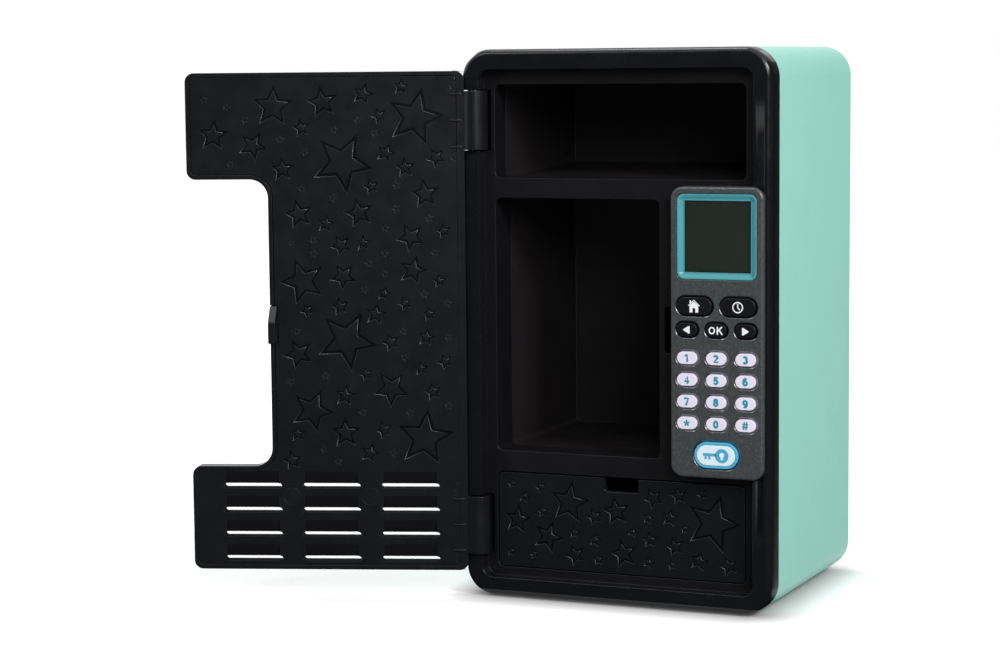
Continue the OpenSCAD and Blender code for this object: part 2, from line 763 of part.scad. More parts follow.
module drawer_housing() color(black) place() {
  difference() {
    along_y(lip_end, tub_back + tub_wall) drawer_outline(-tub_wall);
    difference() {
      along_y(lip_end - past, tub_back) drawer_outline(0);
      drawer_runners(lip_end, tub_back + past);
    }
  }
  ears(drawer_ears, lip_end);
  shell_posts(drawer_z0 + post_up);
}

module liner_screws() color(steel) place() {
  for (p = concat(upper_ears, drawer_ears))
    screw(p[0], p[1], screw_r, lip_end - liner_screw_in, lip_end + ear_t, screw_head_r, screw_head_t);
  for (p = main_ears)
    screw(p[0], p[1], screw_r, main_lip_end - liner_screw_in, main_lip_end + ear_t, screw_head_r,
      screw_head_t);
}

module shell_screws() color(steel) place()
  for (p = shell_screw_spots())
    screw(p[0], p[1], shell_screw_r, tub_back + tub_wall + 4, body_d - well_depth, 3.2, 2);

module feet() color(ink) place()
  for (y = foot_y) translate([0, 0, -foot_h]) linear_extrude(foot_h)
    rounded(-foot_x, foot_x, y - foot_w / 2, y + foot_w / 2, foot_w / 2 - 0.01);

// Drawer

module finger_notch(y0, y1) along_y(y0, y1)
  rounded(notch_x - notch_w / 2, notch_x + notch_w / 2, drawer_z1 - drawer_gap - notch_h, drawer_z1 + 4, 2);

module drawer_front() color(ink) place() difference() {
  along_y(recess_depth, recess_depth + drawer_front_t) drawer_outline(drawer_gap);
  finger_notch(recess_depth - past, recess_depth + drawer_front_t + past);
  along_y(recess_depth - past, recess_depth + star_depth) for (s = drawer_stars) star_ring(s);
}

module drawer_tray() color(ink) place() {
  side = open_x - 1.5;
  front = recess_depth + drawer_front_t;
  floor_z = drawer_z0 + runner_h + 0.2;
  top = drawer_z1 - 4;
  difference() {
    block([-side, side], [front, tray_back], [floor_z, top]);
    block([tray_wall - side, side - tray_wall], [front + tray_wall, tray_back - tray_wall],
      [floor_z + tray_wall, top + past]);
    finger_notch(front - past, front + tray_wall + past);
  }
  for (s = [-1, 1]) block([s * stop_x - stop_l / 2, s * stop_x + stop_l / 2],
    [tray_back - tray_wall, tray_back], [top - past, drawer_z1 - 1.3]);
}

// Door, drawn closed

// Outline of the door with its cut-out round the console, moved in by d
module door_outline(d) {
  r = max(door_r - d, 0.3);
  rounded(door_x0 + d, door_notch_x - d, door_z0 + d, door_z1 - d, r);
  rounded(door_x0 + d, door_x1 - d, door_notch_z1 + d, door_z1 - d, r);
  rounded(door_x0 + d, door_x1 - d, door_z0 + d, door_notch_z0 - d, r);
  for (q = [[door_notch_z1, -1], [door_notch_z0, 1]]) difference() {
    translate([door_notch_x - d - past, q[1] > 0 ? q[0] - d - past : q[0] - door_notch_r])
      square(door_notch_r + d + past);
    translate([door_notch_x + door_notch_r, q[0] + q[1] * door_notch_r]) circle(door_notch_r + d);
  }
}

module vent_spots() for (i = [0 : vent_cols - 1], j = [0 : vent_rows - 1])
  translate([(i - (vent_cols - 1) / 2) * vent_pitch_x, 0, vent_z + j * vent_pitch]) children();

module slit(d)
  rounded(-vent_l / 2 - d, vent_l / 2 + d, -vent_h / 2 - d, vent_h / 2 + d, vent_h / 2 + d - 0.01);

function stake_spots() = [
  for (z = [upper_barrel_z1 + 3, upper_barrel_z0 - 3, lower_barrel_z1 + 5, lower_barrel_z0 - 2.5])
    [door_x0 + stake_in, z]
];

module barrel(z0, z1) {
  rod_z(axis_x, axis_depth, barrel_r, z0, z1);
  block([axis_x, door_x0 + past], [door_out, door_in], [z0, z1]);
  for (z = [z0 + rib_w, (z0 + z1 - rib_w) / 2, z1 - 2 * rib_w])
    block([door_x0, door_x0 + rib_l], [liner_front, door_in + rib_h], [z, z + rib_w]);
}

module door_shell() color(black) place() swing() difference() {
  union() {
    along_y(door_out, door_face_back) door_outline(0);
    along_y(door_out, door_in) difference() {
      door_outline(0);
      door_outline(door_wall);
    }
    along_y(door_in - hinge_lip_t, door_in) difference() {
      rounded(door_x0 - hinge_lip_w, door_x0 + 3 * door_r, door_z0, door_z1, door_r);
      door_outline(door_wall);
    }
    barrel(upper_barrel_z0, upper_barrel_z1);
    barrel(lower_barrel_z0, lower_barrel_z1);
    for (p = stake_spots()) {
      rod_y(p[0], p[1], stake_r + 0.8, door_out + past, liner_back);
      rod_y(p[0], p[1], stake_r, door_out + past, liner_front);
    }
    for (x = door_screw_x) rod_y(x, door_screw_z, 3, door_out + past, liner_back - door_screw_floor);
    vent_spots() along_y(door_out + past, liner_back) slit(0.9);
  }
  vent_spots() along_y(door_out - past, liner_front + past) slit(0);
  for (x = door_screw_x) rod_y(x, door_screw_z, 1.3, door_out + past, liner_back);
  for (z = [[upper_barrel_z0, upper_barrel_z1], [lower_barrel_z0, lower_barrel_z1]])
    rod_z(axis_x, axis_depth, pin_r + pin_play, z[0] - past, z[1] + past);
  block([hook_x0 - 0.1, hook_x1 + past], [door_face_back, door_in + past], [hook_z0 - 0.2, hook_z1 + 0.2]);
}

module door_liner() color(black) place() swing() difference() {
  union() {
    along_y(liner_back, liner_front) door_outline(door_wall + fit);
    for (x = door_screw_x)
      rod_y(x, door_screw_z, plug_r + 1, liner_back - door_screw_floor, liner_front - 0.1);
  }
  vent_spots() along_y(liner_back - past, liner_front + past) slit(0);
  vent_spots() along_x(1.5 - vent_l / 2, vent_l / 2 - 1.5)
    polygon([[liner_front - 1.4, vent_h / 2 - 0.5], [liner_front + past, vent_h / 2 - 0.5],
      [liner_front + past, vent_h / 2 + vent_hollow_h], [liner_front, vent_h / 2 + vent_hollow_h]]);
  for (p = stake_spots()) rod_y(p[0], p[1], stake_r + 0.1, liner_back - past, liner_front + past);
  for (x = door_screw_x) {
    rod_y(x, door_screw_z, plug_r + 0.05, liner_back, liner_front + past);
    rod_y(x, door_screw_z, 1.45, liner_back - door_screw_floor - past, liner_front);
  }
  block([hook_x0 - 0.1, hook_x1 + past], [liner_back - past, liner_front + past],
    [hook_z0 - 0.2, hook_z1 + 0.2]);
  along_y(liner_front - star_depth, liner_front + past) for (s = door_stars)
    star_ring([s[0], s[1], s[2], -s[3]]);
}

module door_plugs() color(black) place() swing()
  for (x = door_screw_x) rod_y(x, door_screw_z, plug_r, liner_front - plug_t, liner_front);

module door_screws() color(steel) place() swing()
  for (x = door_screw_x) {
    rod_y(x, door_screw_z, door_screw_r, door_out + past + 0.2, liner_back);
    rod_y(x, door_screw_z, door_screw_head_r, liner_back, liner_front - plug_t);
  }

module latch_hook() color(black) place() swing() {
  block([hook_x1 - door_wall - 0.1 - hook_foot_l, hook_x1 - door_wall - 0.1], [door_face_back, liner_back],
    [hook_z0 - hook_foot_margin, hook_z1 + hook_foot_margin]);
  difference() {
    along_x(hook_x0, hook_x1) polygon([[door_face_back, hook_z0], [hook_tip, hook_z0],
      [hook_tip, hook_z1 - hook_slope], [door_in + 0.5, hook_z1], [door_face_back, hook_z1]]);
    block([hook_x0 - past, hook_x1 + past], [bolt_y0 - window_play, bolt_y1 + window_play],
      [bolt_z - bolt_h / 2 - window_play, bolt_z + bolt_h / 2 + window_play]);
  }
}

module hinge_pin(z0, z1) color(steel) place()
  rod_z(axis_x, axis_depth, pin_r, z0 - barrel_play - pin_boss_l + pin_end_gap,
    z1 + barrel_play + pin_boss_l - pin_end_gap);
module hinge_pin_upper() hinge_pin(upper_barrel_z0, upper_barrel_z1);
module hinge_pin_lower() hinge_pin(lower_barrel_z0, lower_barrel_z1);

// Console

function console_screw_spots() = [
  for (x = [console_x0 + console_wall + console_boss_in, body_x1 - console_wall_right - console_boss_in],
    z = console_boss_z) [x, z]
];
function lock_screw_spots() = [
  [housing_x0 + 7, bolt_z - housing_half_h - 3],
  [housing_x1 - 7, bolt_z + housing_half_h + 3]
];

// Outline of the console behind its face
module console_body(d) {
  intersection() {
    inset(console_x0, console_x1, console_z0, console_z1, console_r, d);
    translate([console_x0, console_z0]) square([recess_x - 0.2 - console_x0, console_h]);
  }
  rounded(console_x, body_x1 - d, console_z0 + body_in + d, console_z1 - body_in - d, console_r - 2);
}
module console_inside(d) rounded(console_x0 + console_wall + d, body_x1 - console_wall_right - d,
  console_z0 + body_in + console_wall / 2 + d, console_z1 - body_in - console_wall / 2 - d, console_r - 2);
module screen_outline(d) inset(screen_x0, screen_x1, screen_z0, screen_z1, screen_r, d);

module console_face() color(grey) place() difference() {
  union() {
    soft_slab(console_x0, console_x1, console_z0, console_z1, console_r, face_front, 0, 1.5);
    along_y(-0.5, recess_depth) console_body(0);
  }
  difference() {
    along_y(face_back, recess_depth + past) console_inside(0);
    for (p = console_screw_spots()) rod_y(p[0], p[1], boss_r, face_back - past, base_front);
  }
  along_y(face_front - past, ledge_front) screen_outline(0);
  along_y(face_front, face_back + past) screen_outline(ledge_w);
  for (k = keys()) key_outline(k, key_play, face_front - past, face_back + past);
  for (p = console_screw_spots())
    rod_y(p[0], p[1], console_screw_r + 0.05, face_back + 0.8, recess_depth + past);
}

module console_base() color(ink) place() difference() {
  along_y(base_front, recess_depth) console_inside(0.2);
  for (p = console_screw_spots())
    rod_y(p[0], p[1], console_screw_r + 0.2, base_front - past, recess_depth + past);
  rod_y(console_x, console_z0 + wire_hole_up, wire_hole_r, base_front - past, recess_depth + past);
}

module console_screws() color(steel) place()
  for (p = console_screw_spots()) screw(p[0], p[1], console_screw_r, face_back + 1.8, plate_back, 2.2, 1.4);

module screen_surround() color(teal) place() {
  slope = ledge_front - surround_front;
  carried_round(screen_x0 + fit, screen_x1 - fit, screen_z0 + fit, screen_z1 - fit, screen_r + 0.4)
    polygon([[0, surround_front], [0, ledge_front], [-surround_w, ledge_front],
      [-surround_w, surround_front + slope * 0.75], [-0.6, surround_front]]);
}

module screen_window() color([0.25, 0.28, 0.26, 0.5]) place()
  along_y(ledge_front, ledge_front + window_t) screen_outline(ledge_w + fit);

module screen_module() color([0.20, 0.24, 0.20]) place() {
  along_y(ledge_front + window_t, board_front) screen_outline(ledge_w + 0.8);
}

module key_membrane() color([0.6, 0.6, 0.58]) place() {
  difference() {
    along_y(membrane_front, board_front) intersection() {
      console_inside(0.4);
      translate([console_x0, console_z0]) square([console_w, screen_z0 - console_z0]);
    }
    for (p = console_screw_spots())
      rod_y(p[0], p[1], boss_r + 0.2, membrane_front - past, board_front + past);
  }
  for (k = keys()) rod_y(k[0], k[1], dome_r, dome_front, membrane_front);
}

module circuit_board() color([0.10, 0.35, 0.20]) place() {
  difference() {
    along_y(board_front, board_back) console_inside(0.4);
    for (p = console_screw_spots()) rod_y(p[0], p[1], boss_r + 0.2, board_front - past, board_back + past);
  }
  for (x = [console_x - stand_x, console_x + stand_x], z = [console_z0 + stand_z, console_z1 - stand_z])
    rod_y(x, z, 2, board_back - 0.5, base_front);
}

// Keys: x, z, width, height
function keys() = [
  key_home_at(), key_clock_at(),
  for (i = [-1 : 1]) arrow_at(i),
  for (r = [0 : 3], c = [-1 : 1]) number_at(r, c),
  key_unlock_at()
];
function key_home_at() = [console_x - home_key_off, home_z(), home_key_w, home_key_h];
function key_clock_at() = [console_x + home_key_off, home_z(), home_key_w, home_key_h];
function arrow_at(i) = [console_x + i * key_pitch_x, row_z(arrow_share), key_w + 0.3, key_h + 0.5];
function number_at(r, c) =
  [console_x + c * key_pitch_x, row_z(number_share) - r * key_pitch_z, key_w, key_h];
function key_unlock_at() = [console_x, row_z(unlock_share), unlock_key_w, unlock_key_h];

// A key outline with round ends, grown by d
module key_outline(k, d, y0, y1) along_y(y0, y1) translate([k[0], k[1]])
  rounded(-k[2] / 2 - d, k[2] / 2 + d, -k[3] / 2 - d, k[3] / 2 + d, k[3] / 2 + d - 0.01);

module key(k, tone) color(tone) place() {
  key_outline(k, 0, face_front - key_out, key_back);
  along_y(face_back + key_seat, key_back) translate([k[0], k[1]])
    rounded(-k[2] / 2, k[2] / 2, -k[3] / 2 - key_flange_w, k[3] / 2 + key_flange_w, 1);
}
module key_home() key(key_home_at(), ink);
module key_clock() key(key_clock_at(), ink);
module key_left() key(arrow_at(-1), ink);
module key_ok() key(arrow_at(0), ink);
module key_right() key(arrow_at(1), ink);
module key_1() key(number_at(0, -1), pale);
module key_2() key(number_at(0, 0), pale);
module key_3() key(number_at(0, 1), pale);
module key_4() key(number_at(1, -1), pale);
module key_5() key(number_at(1, 0), pale);
module key_6() key(number_at(1, 1), pale);
module key_7() key(number_at(2, -1), pale);
module key_8() key(number_at(2, 0), pale);
module key_9() key(number_at(2, 1), pale);
module key_star() key(number_at(3, -1), pale);
module key_0() key(number_at(3, 0), pale);
module key_hash() key(number_at(3, 1), pale);
module key_unlock() difference() {
  key(key_unlock_at(), [0.3, 0.7, 0.85]);
  place() key_outline(key_unlock_at(), -1.3, face_front - key_out - past, face_front + 0.6);
}
module unlock_cap() color(pale) place()
  key_outline(key_unlock_at(), -1.4, face_front - key_out - 0.2, face_front + 0.6);

// Speaker and battery

module speaker() color(steel) place() translate([speaker_x, back_inside, speaker_z]) rotate([90, 0, 0])
  rotate_extrude() polygon([[0, 3], [cone_r, 1.2], [surround_r, 0.8], [surround_r, 0], [speaker_r, 0],
    [speaker_r, 2], [magnet_r, 4], [magnet_r, speaker_t + 3], [0, speaker_t + 3]]);

module battery_box() color(ink) place() difference() {
  union() {
    along_y(battery_floor - battery_wall, back_inside)
      rounded(-battery_in_x - battery_wall, battery_in_x + battery_wall, battery_in_z0 - battery_wall,
        battery_in_z1 + battery_wall, battery_open_r);
    along_y(back_inside - flange_t, back_inside)
      rounded(-battery_open_x - flange_w, battery_open_x + flange_w, battery_up - flange_w,
        battery_open_z1 + flange_w, battery_open_r);
    rod_y(0, battery_screw_z, lid_boss_r, battery_floor + lid_boss_in, back_inside);
  }
  along_y(battery_floor, back_inside + past)
    rounded(-battery_in_x, battery_in_x, battery_in_z0, battery_in_z1, battery_open_r);
  rod_y(0, battery_screw_z, shell_screw_r + 0.05, battery_floor + lid_bore_in, back_inside + past);
}

function cell_z(i) = battery_in_z0 + 0.5 + (i + 0.5) * cell_pitch;

module batteries() color([0.75, 0.70, 0.35]) place() for (i = [0 : cells - 1]) {
  rod_x(cell_y, cell_z(i), cell_r, -cell_l / 2, cell_l / 2);
  mirror([i % 2, 0, 0]) rod_x(cell_y, cell_z(i), nub_r, cell_l / 2 - 0.1, cell_l / 2 + nub_l);
}

// Bent leaf contacts at both ends of each cell
module battery_contacts() color(steel) place() for (i = [0 : cells - 1], s = [0, 1]) {
  tip = cell_l / 2 + ((i + s) % 2 == 0 ? nub_l : 0) + 0.05;
  mirror([s, 0, 0]) translate([0, 0, cell_z(i) - contact_w / 2]) linear_extrude(contact_w)
    polygon([[battery_in_x, cell_y - contact_half], [tip, cell_y],
      [battery_in_x, cell_y + contact_half], [battery_in_x, cell_y + contact_half - contact_t],
      [tip + contact_t / 2, cell_y], [battery_in_x, cell_y - contact_half + contact_t]]);
}

module battery_door() color(mint) place() difference() {
  union() {
    along_y(back_inside, body_d)
      rounded(fit - battery_open_x, battery_open_x - fit, battery_up + fit, battery_open_z1 - fit,
        battery_open_r);
    for (s = [-1, 1]) block([s * hook_tab_x - hook_tab_w / 2, s * hook_tab_x + hook_tab_w / 2],
      [back_inside - hook_tab_l, back_inside + past], [battery_in_z0 + 0.1, battery_in_z0 + 1.4]);
  }
  rod_y(0, battery_screw_z, shell_screw_r + 0.2, back_inside - past, body_d);
  rod_y(0, battery_screw_z, 3, body_d - 1.6, body_d + past);
}

module battery_door_screw() color(steel) place()
  screw(0, battery_screw_z, shell_screw_r, battery_floor + lid_screw_in, body_d - 1.6, 2.8, 1.4);

// Lock

module lock_housing() color(ink) place() difference() {
  union() {
    block([housing_x0, housing_x1], [plate_back, housing_y1],
      [bolt_z - housing_half_h, bolt_z + housing_half_h]);
    for (p = lock_screw_spots()) {
      rod_y(p[0], p[1], 3.4, plate_back, plate_back + 2);
      block([p[0] - 3.4, p[0] + 3.4], [plate_back, plate_back + 2], [min(p[1], bolt_z), max(p[1], bolt_z)]);
    }
  }
  block([housing_x0 + housing_wall, housing_x1 - housing_wall],
    [plate_back + housing_front_wall, housing_y1 - housing_wall],
    [bolt_z - housing_half_h + housing_wall, bolt_z + housing_half_h - housing_wall]);
  block([housing_x0 - past, housing_x0 + housing_wall + past], [bolt_y0 - 0.1, bolt_y1 + 0.1],
    [bolt_z - bolt_h / 2 - 0.1, bolt_z + bolt_h / 2 + 0.1]);
  for (p = lock_screw_spots()) rod_y(p[0], p[1], screw_r + 0.2, plate_back - past, plate_back + 2 + past);
}

module lock_screws() color(steel) place()
  for (p = lock_screw_spots())
    screw(p[0], p[1], screw_r, plate_back - 1.8, plate_back + 2, screw_head_r, screw_head_t);

module latch_bolt() color(steel) place() {
  z = [bolt_z - bolt_h / 2, bolt_z + bolt_h / 2];
  block([bolt_tip_x, bolt_lug_x + bolt_lug_t], [bolt_y0, bolt_y1], z);
  block([bolt_lug_x, bolt_lug_x + bolt_lug_t], [bolt_y0, coil_y + plunger_r + 1], z);
}

module solenoid_plunger() color(steel) place()
  rod_x(coil_y, bolt_z, plunger_r, bolt_lug_x + bolt_lug_t, bolt_lug_x + bolt_lug_t + plunger_l);

module solenoid_coil() color([0.65, 0.35, 0.15]) place() translate([coil_x0, coil_y, bolt_z])
  rotate([0, 90, 0]) rotate_extrude() polygon([[plunger_r + 0.1, 0], [coil_r, 0], [coil_r, 1],
    [coil_r - 1, 1],
    [coil_r - 1, coil_l - 1], [coil_r, coil_l - 1], [coil_r, coil_l], [plunger_r + 0.1, coil_l]]);

outer_shell();
front_frame();
upper_liner();
main_liner();
drawer_housing();
liner_screws();
shell_screws();
feet();
drawer_front();
drawer_tray();
door_shell();
door_liner();
door_plugs();
door_screws();
latch_hook();
hinge_pin_upper();
hinge_pin_lower();
console_face();
console_base();
console_screws();
screen_surround();
screen_window();
screen_module();
key_membrane();
circuit_board();
key_home();
key_clock();
key_left();
key_ok();
key_right();
key_1();
key_2();
key_3();
key_4();
key_5();
key_6();
key_7();
key_8();
key_9();
key_star();
key_0();
key_hash();
key_unlock();
unlock_cap();
speaker();
battery_box();
batteries();
battery_contacts();
battery_door();
battery_door_screw();
lock_housing();
lock_screws();
latch_bolt();
solenoid_coil();
solenoid_plunger();
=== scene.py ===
import json
import math

import bmesh
import bpy
from mathutils import Matrix, Vector


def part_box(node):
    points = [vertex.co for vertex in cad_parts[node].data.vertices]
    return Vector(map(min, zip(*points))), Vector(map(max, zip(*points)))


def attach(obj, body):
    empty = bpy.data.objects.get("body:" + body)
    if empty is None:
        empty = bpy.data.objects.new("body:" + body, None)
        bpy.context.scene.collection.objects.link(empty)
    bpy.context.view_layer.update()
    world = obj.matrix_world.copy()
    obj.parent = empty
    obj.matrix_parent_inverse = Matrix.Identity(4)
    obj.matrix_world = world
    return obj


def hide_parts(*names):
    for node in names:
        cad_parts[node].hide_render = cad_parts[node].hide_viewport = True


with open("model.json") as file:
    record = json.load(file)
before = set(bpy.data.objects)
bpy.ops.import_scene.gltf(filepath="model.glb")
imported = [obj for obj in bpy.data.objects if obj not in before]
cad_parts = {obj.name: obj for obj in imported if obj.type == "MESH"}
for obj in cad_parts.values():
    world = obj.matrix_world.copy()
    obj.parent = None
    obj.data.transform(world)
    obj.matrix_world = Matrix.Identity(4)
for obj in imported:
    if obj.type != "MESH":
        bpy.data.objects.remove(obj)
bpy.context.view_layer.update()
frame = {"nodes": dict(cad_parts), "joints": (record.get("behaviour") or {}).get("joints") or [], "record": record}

MM = 0.001

# The bezel face and the underside of the shell, which the layout in millimetres counts from
bezel_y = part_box("front_frame")[0].y
shell_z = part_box("outer_shell")[0].z

# The door swings on this axis, and stands open by this angle
hinge_point = Vector(next(j for j in frame["joints"] if j["name"] == "door_hinge")["pos_m"])
door_open = math.radians(160.4)
swing = (
    Matrix.Translation(hinge_point)
    @ Matrix.Rotation(-door_open, 4, "Z")
    @ Matrix.Translation(-hinge_point)
)


def at(x, y, z):
    """A place in the layout, in millimetres, brought to the frame in metres."""
    return Vector((x * MM, bezel_y + y * MM, shell_z + z * MM))


def centre(node):
    low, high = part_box(node)
    return (low + high) / 2


# Node building


def tone(red, green, blue):
    """A colour seen on screen, 0 to 255, as the shader's linear colour by the sRGB curve."""
    def linear(level):
        level /= 255
        return level / 12.92 if level <= 0.04045 else ((level + 0.055) / 1.055) ** 2.4
    return (linear(red), linear(green), linear(blue), 1.0)


def shade(colour, factor):
    return tuple(min(level * factor, 1.0) for level in colour[:3]) + (1.0,)


def add(tree, kind, inputs=None, **settings):
    """A shader node with its settings, its plain input values and its links."""
    node = tree.nodes.new("ShaderNode" + kind)
    for name, value in settings.items():
        setattr(node, name, value)
    for name, value in (inputs or {}).items():
        if isinstance(value, bpy.types.NodeSocket):
            tree.links.new(value, node.inputs[name])
        else:
            node.inputs[name].default_value = value
    return node


def blank(name):
    """A material with its shader and the object's own coordinates."""
    material = bpy.data.materials.new(name)
    material.use_nodes = True
    tree = material.node_tree
    place = add(tree, "TexCoord").outputs["Object"]
    return material, tree, tree.nodes["Principled BSDF"], place


def noise(tree, place, size, detail=2.0, stretch=None):
    """Noise whose clouds are about size millimetres across."""
    if stretch:
        place = add(tree, "Mapping", {"Vector": place, "Scale": stretch}).outputs["Vector"]
    inputs = {"Vector": place, "Scale": 1 / (size * MM), "Detail": detail}
    return add(tree, "TexNoise", inputs).outputs["Fac"]


def spread(tree, value, low, high, start=0.3, stop=0.7):
    """A value that runs from start to stop, brought to run from low to high."""
    inputs = {"Value": value, "From Min": start, "From Max": stop, "To Min": low, "To Max": high}
    return add(tree, "MapRange", inputs).outputs["Result"]


def blend(tree, factor, first, second):
    """A mix of two colours, each plain or linked. The numbers are the colour sockets' places."""
    first_in, second_in, mixed_out = 6, 7, 2
    node = add(tree, "Mix", {first_in: first, second_in: second}, data_type="RGBA")
    tree.links.new(factor, node.inputs["Factor"])
    return node.outputs[mixed_out]


def edge_mask(tree, radius, strength):
    """Where the surface turns a corner within radius millimetres, 0 on the flat."""
    corner, flat = 0.72, 0.97
    soft = add(tree, "Bevel", {"Radius": radius * MM}, samples=4).outputs["Normal"]
    hard = add(tree, "NewGeometry").outputs["Normal"]
    turn = add(tree, "VectorMath", {0: soft, 1: hard}, operation="DOT_PRODUCT").outputs["Value"]
    return spread(tree, turn, strength, 0.0, corner, flat)


def bump(tree, height, depth, strength=1.0):
    inputs = {"Height": height, "Distance": depth * MM, "Strength": strength}
    return add(tree, "Bump", inputs).outputs["Normal"]


def waves(tree, place, pitch, direction, distortion=0.0):
    """Bands pitch millimetres apart. At scale 1 a wave texture's bands lie 0.314 apart."""
    inputs = {"Vector": place, "Scale": 0.314 / (pitch * MM), "Distortion": distortion}
    return add(tree, "TexWave", inputs, bands_direction=direction).outputs["Fac"]


def seen_by(tree, first, *others):
    """1 for rays of these kinds, 0 for the rest."""
    ray = add(tree, "LightPath").outputs
    seen = ray[first]
    for kind in others:
        seen = add(tree, "Math", {0: seen, 1: ray[kind]}, operation="MAXIMUM").outputs["Value"]
    return seen


# Finishes. Sizes are in millimetres


def moulded(name, colour, roughness, gloss=0.4, mottle=0.06, grain=0.35, depth=0.02, painted_edge_light=0.0,
            painted_edge_tone=None):
    """Moulded plastic: faint clouds in its colour, a fine grain, and a painted highlight that lightens its edges
    and corners.
    """
    material, tree, shader, place = blank(name)
    clouds = noise(tree, place, size=26, detail=3.0)
    fine = noise(tree, place, size=grain)
    skin = blend(tree, spread(tree, clouds, 0.0, 1.0), shade(colour, 1 - mottle),
                 shade(colour, 1 + mottle))
    # Edges and inner corners are painted lighter: a painted highlight for the light they catch
    if painted_edge_light:
        skin = blend(tree, edge_mask(tree, radius=0.5, strength=painted_edge_light), skin, painted_edge_tone)
    tree.links.new(skin, shader.inputs["Base Color"])
    patches = noise(tree, place, size=9, detail=4.0)
    tree.links.new(spread(tree, patches, low=roughness - 0.04, high=roughness + 0.05),
                   shader.inputs["Roughness"])
    tree.links.new(bump(tree, fine, depth), shader.inputs["Normal"])
    shader.inputs["Specular IOR Level"].default_value = gloss
    return material


def sparkle_grey(name, colour, flake):
    """Grey moulding with metal flakes in it."""
    material, tree, shader, place = blank(name)
    flakes = add(tree, "TexVoronoi", {"Vector": place, "Scale": 1 / (flake * MM)})
    bits = add(tree, "SeparateColor", {"Color": flakes.outputs["Color"]}).outputs["Red"]
    clouds = noise(tree, place, size=1.4, detail=3.0)
    body = blend(tree, spread(tree, clouds, 0.0, 1.0), shade(colour, 0.82), shade(colour, 1.12))
    glint = spread(tree, bits, low=0.0, high=0.5, start=0.6, stop=1.0)
    skin = blend(tree, glint, body, shade(colour, 2.3))
    tree.links.new(skin, shader.inputs["Base Color"])
    tree.links.new(spread(tree, bits, low=0.44, high=0.28, start=0.0, stop=1.0),
                   shader.inputs["Roughness"])
    tree.links.new(bump(tree, bits, depth=0.02, strength=0.6), shader.inputs["Normal"])
    shader.inputs["Metallic"].default_value = 0.35
    shader.inputs["Specular IOR Level"].default_value = 0.5
    return material


def brushed(name, colour, roughness):
    """Metal with fine lines drawn along it."""
    material, tree, shader, place = blank(name)
    lines = noise(tree, place, size=1.2, detail=3.0, stretch=(1, 14, 1))
    skin = blend(tree, spread(tree, lines, 0.0, 1.0), shade(colour, 0.8), shade(colour, 1.15))
    tree.links.new(skin, shader.inputs["Base Color"])
    tree.links.new(spread(tree, lines, low=roughness - 0.07, high=roughness + 0.1),
                   shader.inputs["Roughness"])
    tree.links.new(bump(tree, lines, depth=0.02, strength=0.5), shader.inputs["Normal"])
    shader.inputs["Metallic"].default_value = 1.0
    return material


def clear_pane(name, colour, alpha):
    """Tinted acrylic with faint smears."""
    material, tree, shader, place = blank(name)
    smears = noise(tree, place, size=14, detail=4.0, stretch=(1, 1, 2.5))
    tree.links.new(spread(tree, smears, low=0.05, high=0.16), shader.inputs["Roughness"])
    skin = blend(tree, spread(tree, smears, 0.0, 1.0), shade(colour, 0.9), shade(colour, 1.1))
    tree.links.new(skin, shader.inputs["Base Color"])
    shader.inputs["Alpha"].default_value = alpha
    shader.inputs["Specular IOR Level"].default_value = 0.4
    return material


def display(name, colour, cell):
    """An unlit liquid crystal display with its faint grid of cells."""
    material, tree, shader, place = blank(name)
    bands = {0: waves(tree, place, cell, "X"), 1: waves(tree, place, cell, "Z")}
    grid = add(tree, "Math", bands, operation="MAXIMUM").outputs["Value"]
    clouds = noise(tree, place, size=18, detail=3.0)
    field = blend(tree, spread(tree, clouds, 0.0, 1.0), shade(colour, 0.93), shade(colour, 1.07))
    gaps = spread(tree, grid, low=0.0, high=0.25, start=0.9, stop=1.0)
    skin = blend(tree, gaps, field, shade(colour, 0.7))
    tree.links.new(skin, shader.inputs["Base Color"])
    tree.links.new(spread(tree, clouds, low=0.55, high=0.62), shader.inputs["Roughness"])
    shader.inputs["Specular IOR Level"].default_value = 0.25
    return material


def wound(name, colour, pitch):
    """Fine wire laid side by side along X."""
    material, tree, shader, place = blank(name)
    turns = waves(tree, place, pitch, "X", distortion=0.2)
    # The sides of each turn are painted darker: painted shade in the crevices between turns
    skin = blend(tree, turns, shade(colour, 0.35), shade(colour, 1.1))
    tree.links.new(skin, shader.inputs["Base Color"])
    tree.links.new(spread(tree, turns, low=0.5, high=0.25, start=0.0, stop=1.0),
                   shader.inputs["Roughness"])
    tree.links.new(bump(tree, turns, depth=0.15), shader.inputs["Normal"])
    shader.inputs["Metallic"].default_value = 0.9
    return material


def sleeved(name, band, sleeve):
    """The printed sleeve of a cell: a pale band at one end and a dark body."""
    band_start, band_full = 9.9, 10.1
    material, tree, shader, place = blank(name)
    along = add(tree, "SeparateXYZ", {"Vector": place}).outputs["X"]
    split = spread(tree, along, 0.0, 1.0, band_start * MM, band_full * MM)
    grain = noise(tree, place, size=2, detail=3.0)
    dark = blend(tree, spread(tree, grain, 0.0, 1.0), shade(sleeve, 0.85), shade(sleeve, 1.15))
    tree.links.new(blend(tree, split, dark, band), shader.inputs["Base Color"])
    tree.links.new(spread(tree, grain, low=0.24, high=0.32), shader.inputs["Roughness"])
    shader.inputs["Metallic"].default_value = 0.4
    return material


def board(name, mask, trace):
    """Circuit board: dark mask with the paler paths of its copper."""
    cell, pitch = 4, 0.16
    material, tree, shader, place = blank(name)
    paths = add(tree, "TexVoronoi", {"Vector": place, "Scale": 1 / (cell * MM)},
                distance="MANHATTAN", feature="F1").outputs["Distance"]
    lines = add(tree, "Math", {0: paths, 1: pitch}, operation="PINGPONG").outputs["Value"]
    copper = spread(tree, lines, low=0.0, high=1.0, start=0.1, stop=0.12)
    tree.links.new(blend(tree, copper, mask, trace), shader.inputs["Base Color"])
    tree.links.new(spread(tree, lines, low=0.35, high=0.28, start=0.0, stop=pitch),
                   shader.inputs["Roughness"])
    tree.links.new(bump(tree, lines, depth=0.1, strength=0.4), shader.inputs["Normal"])
    return material
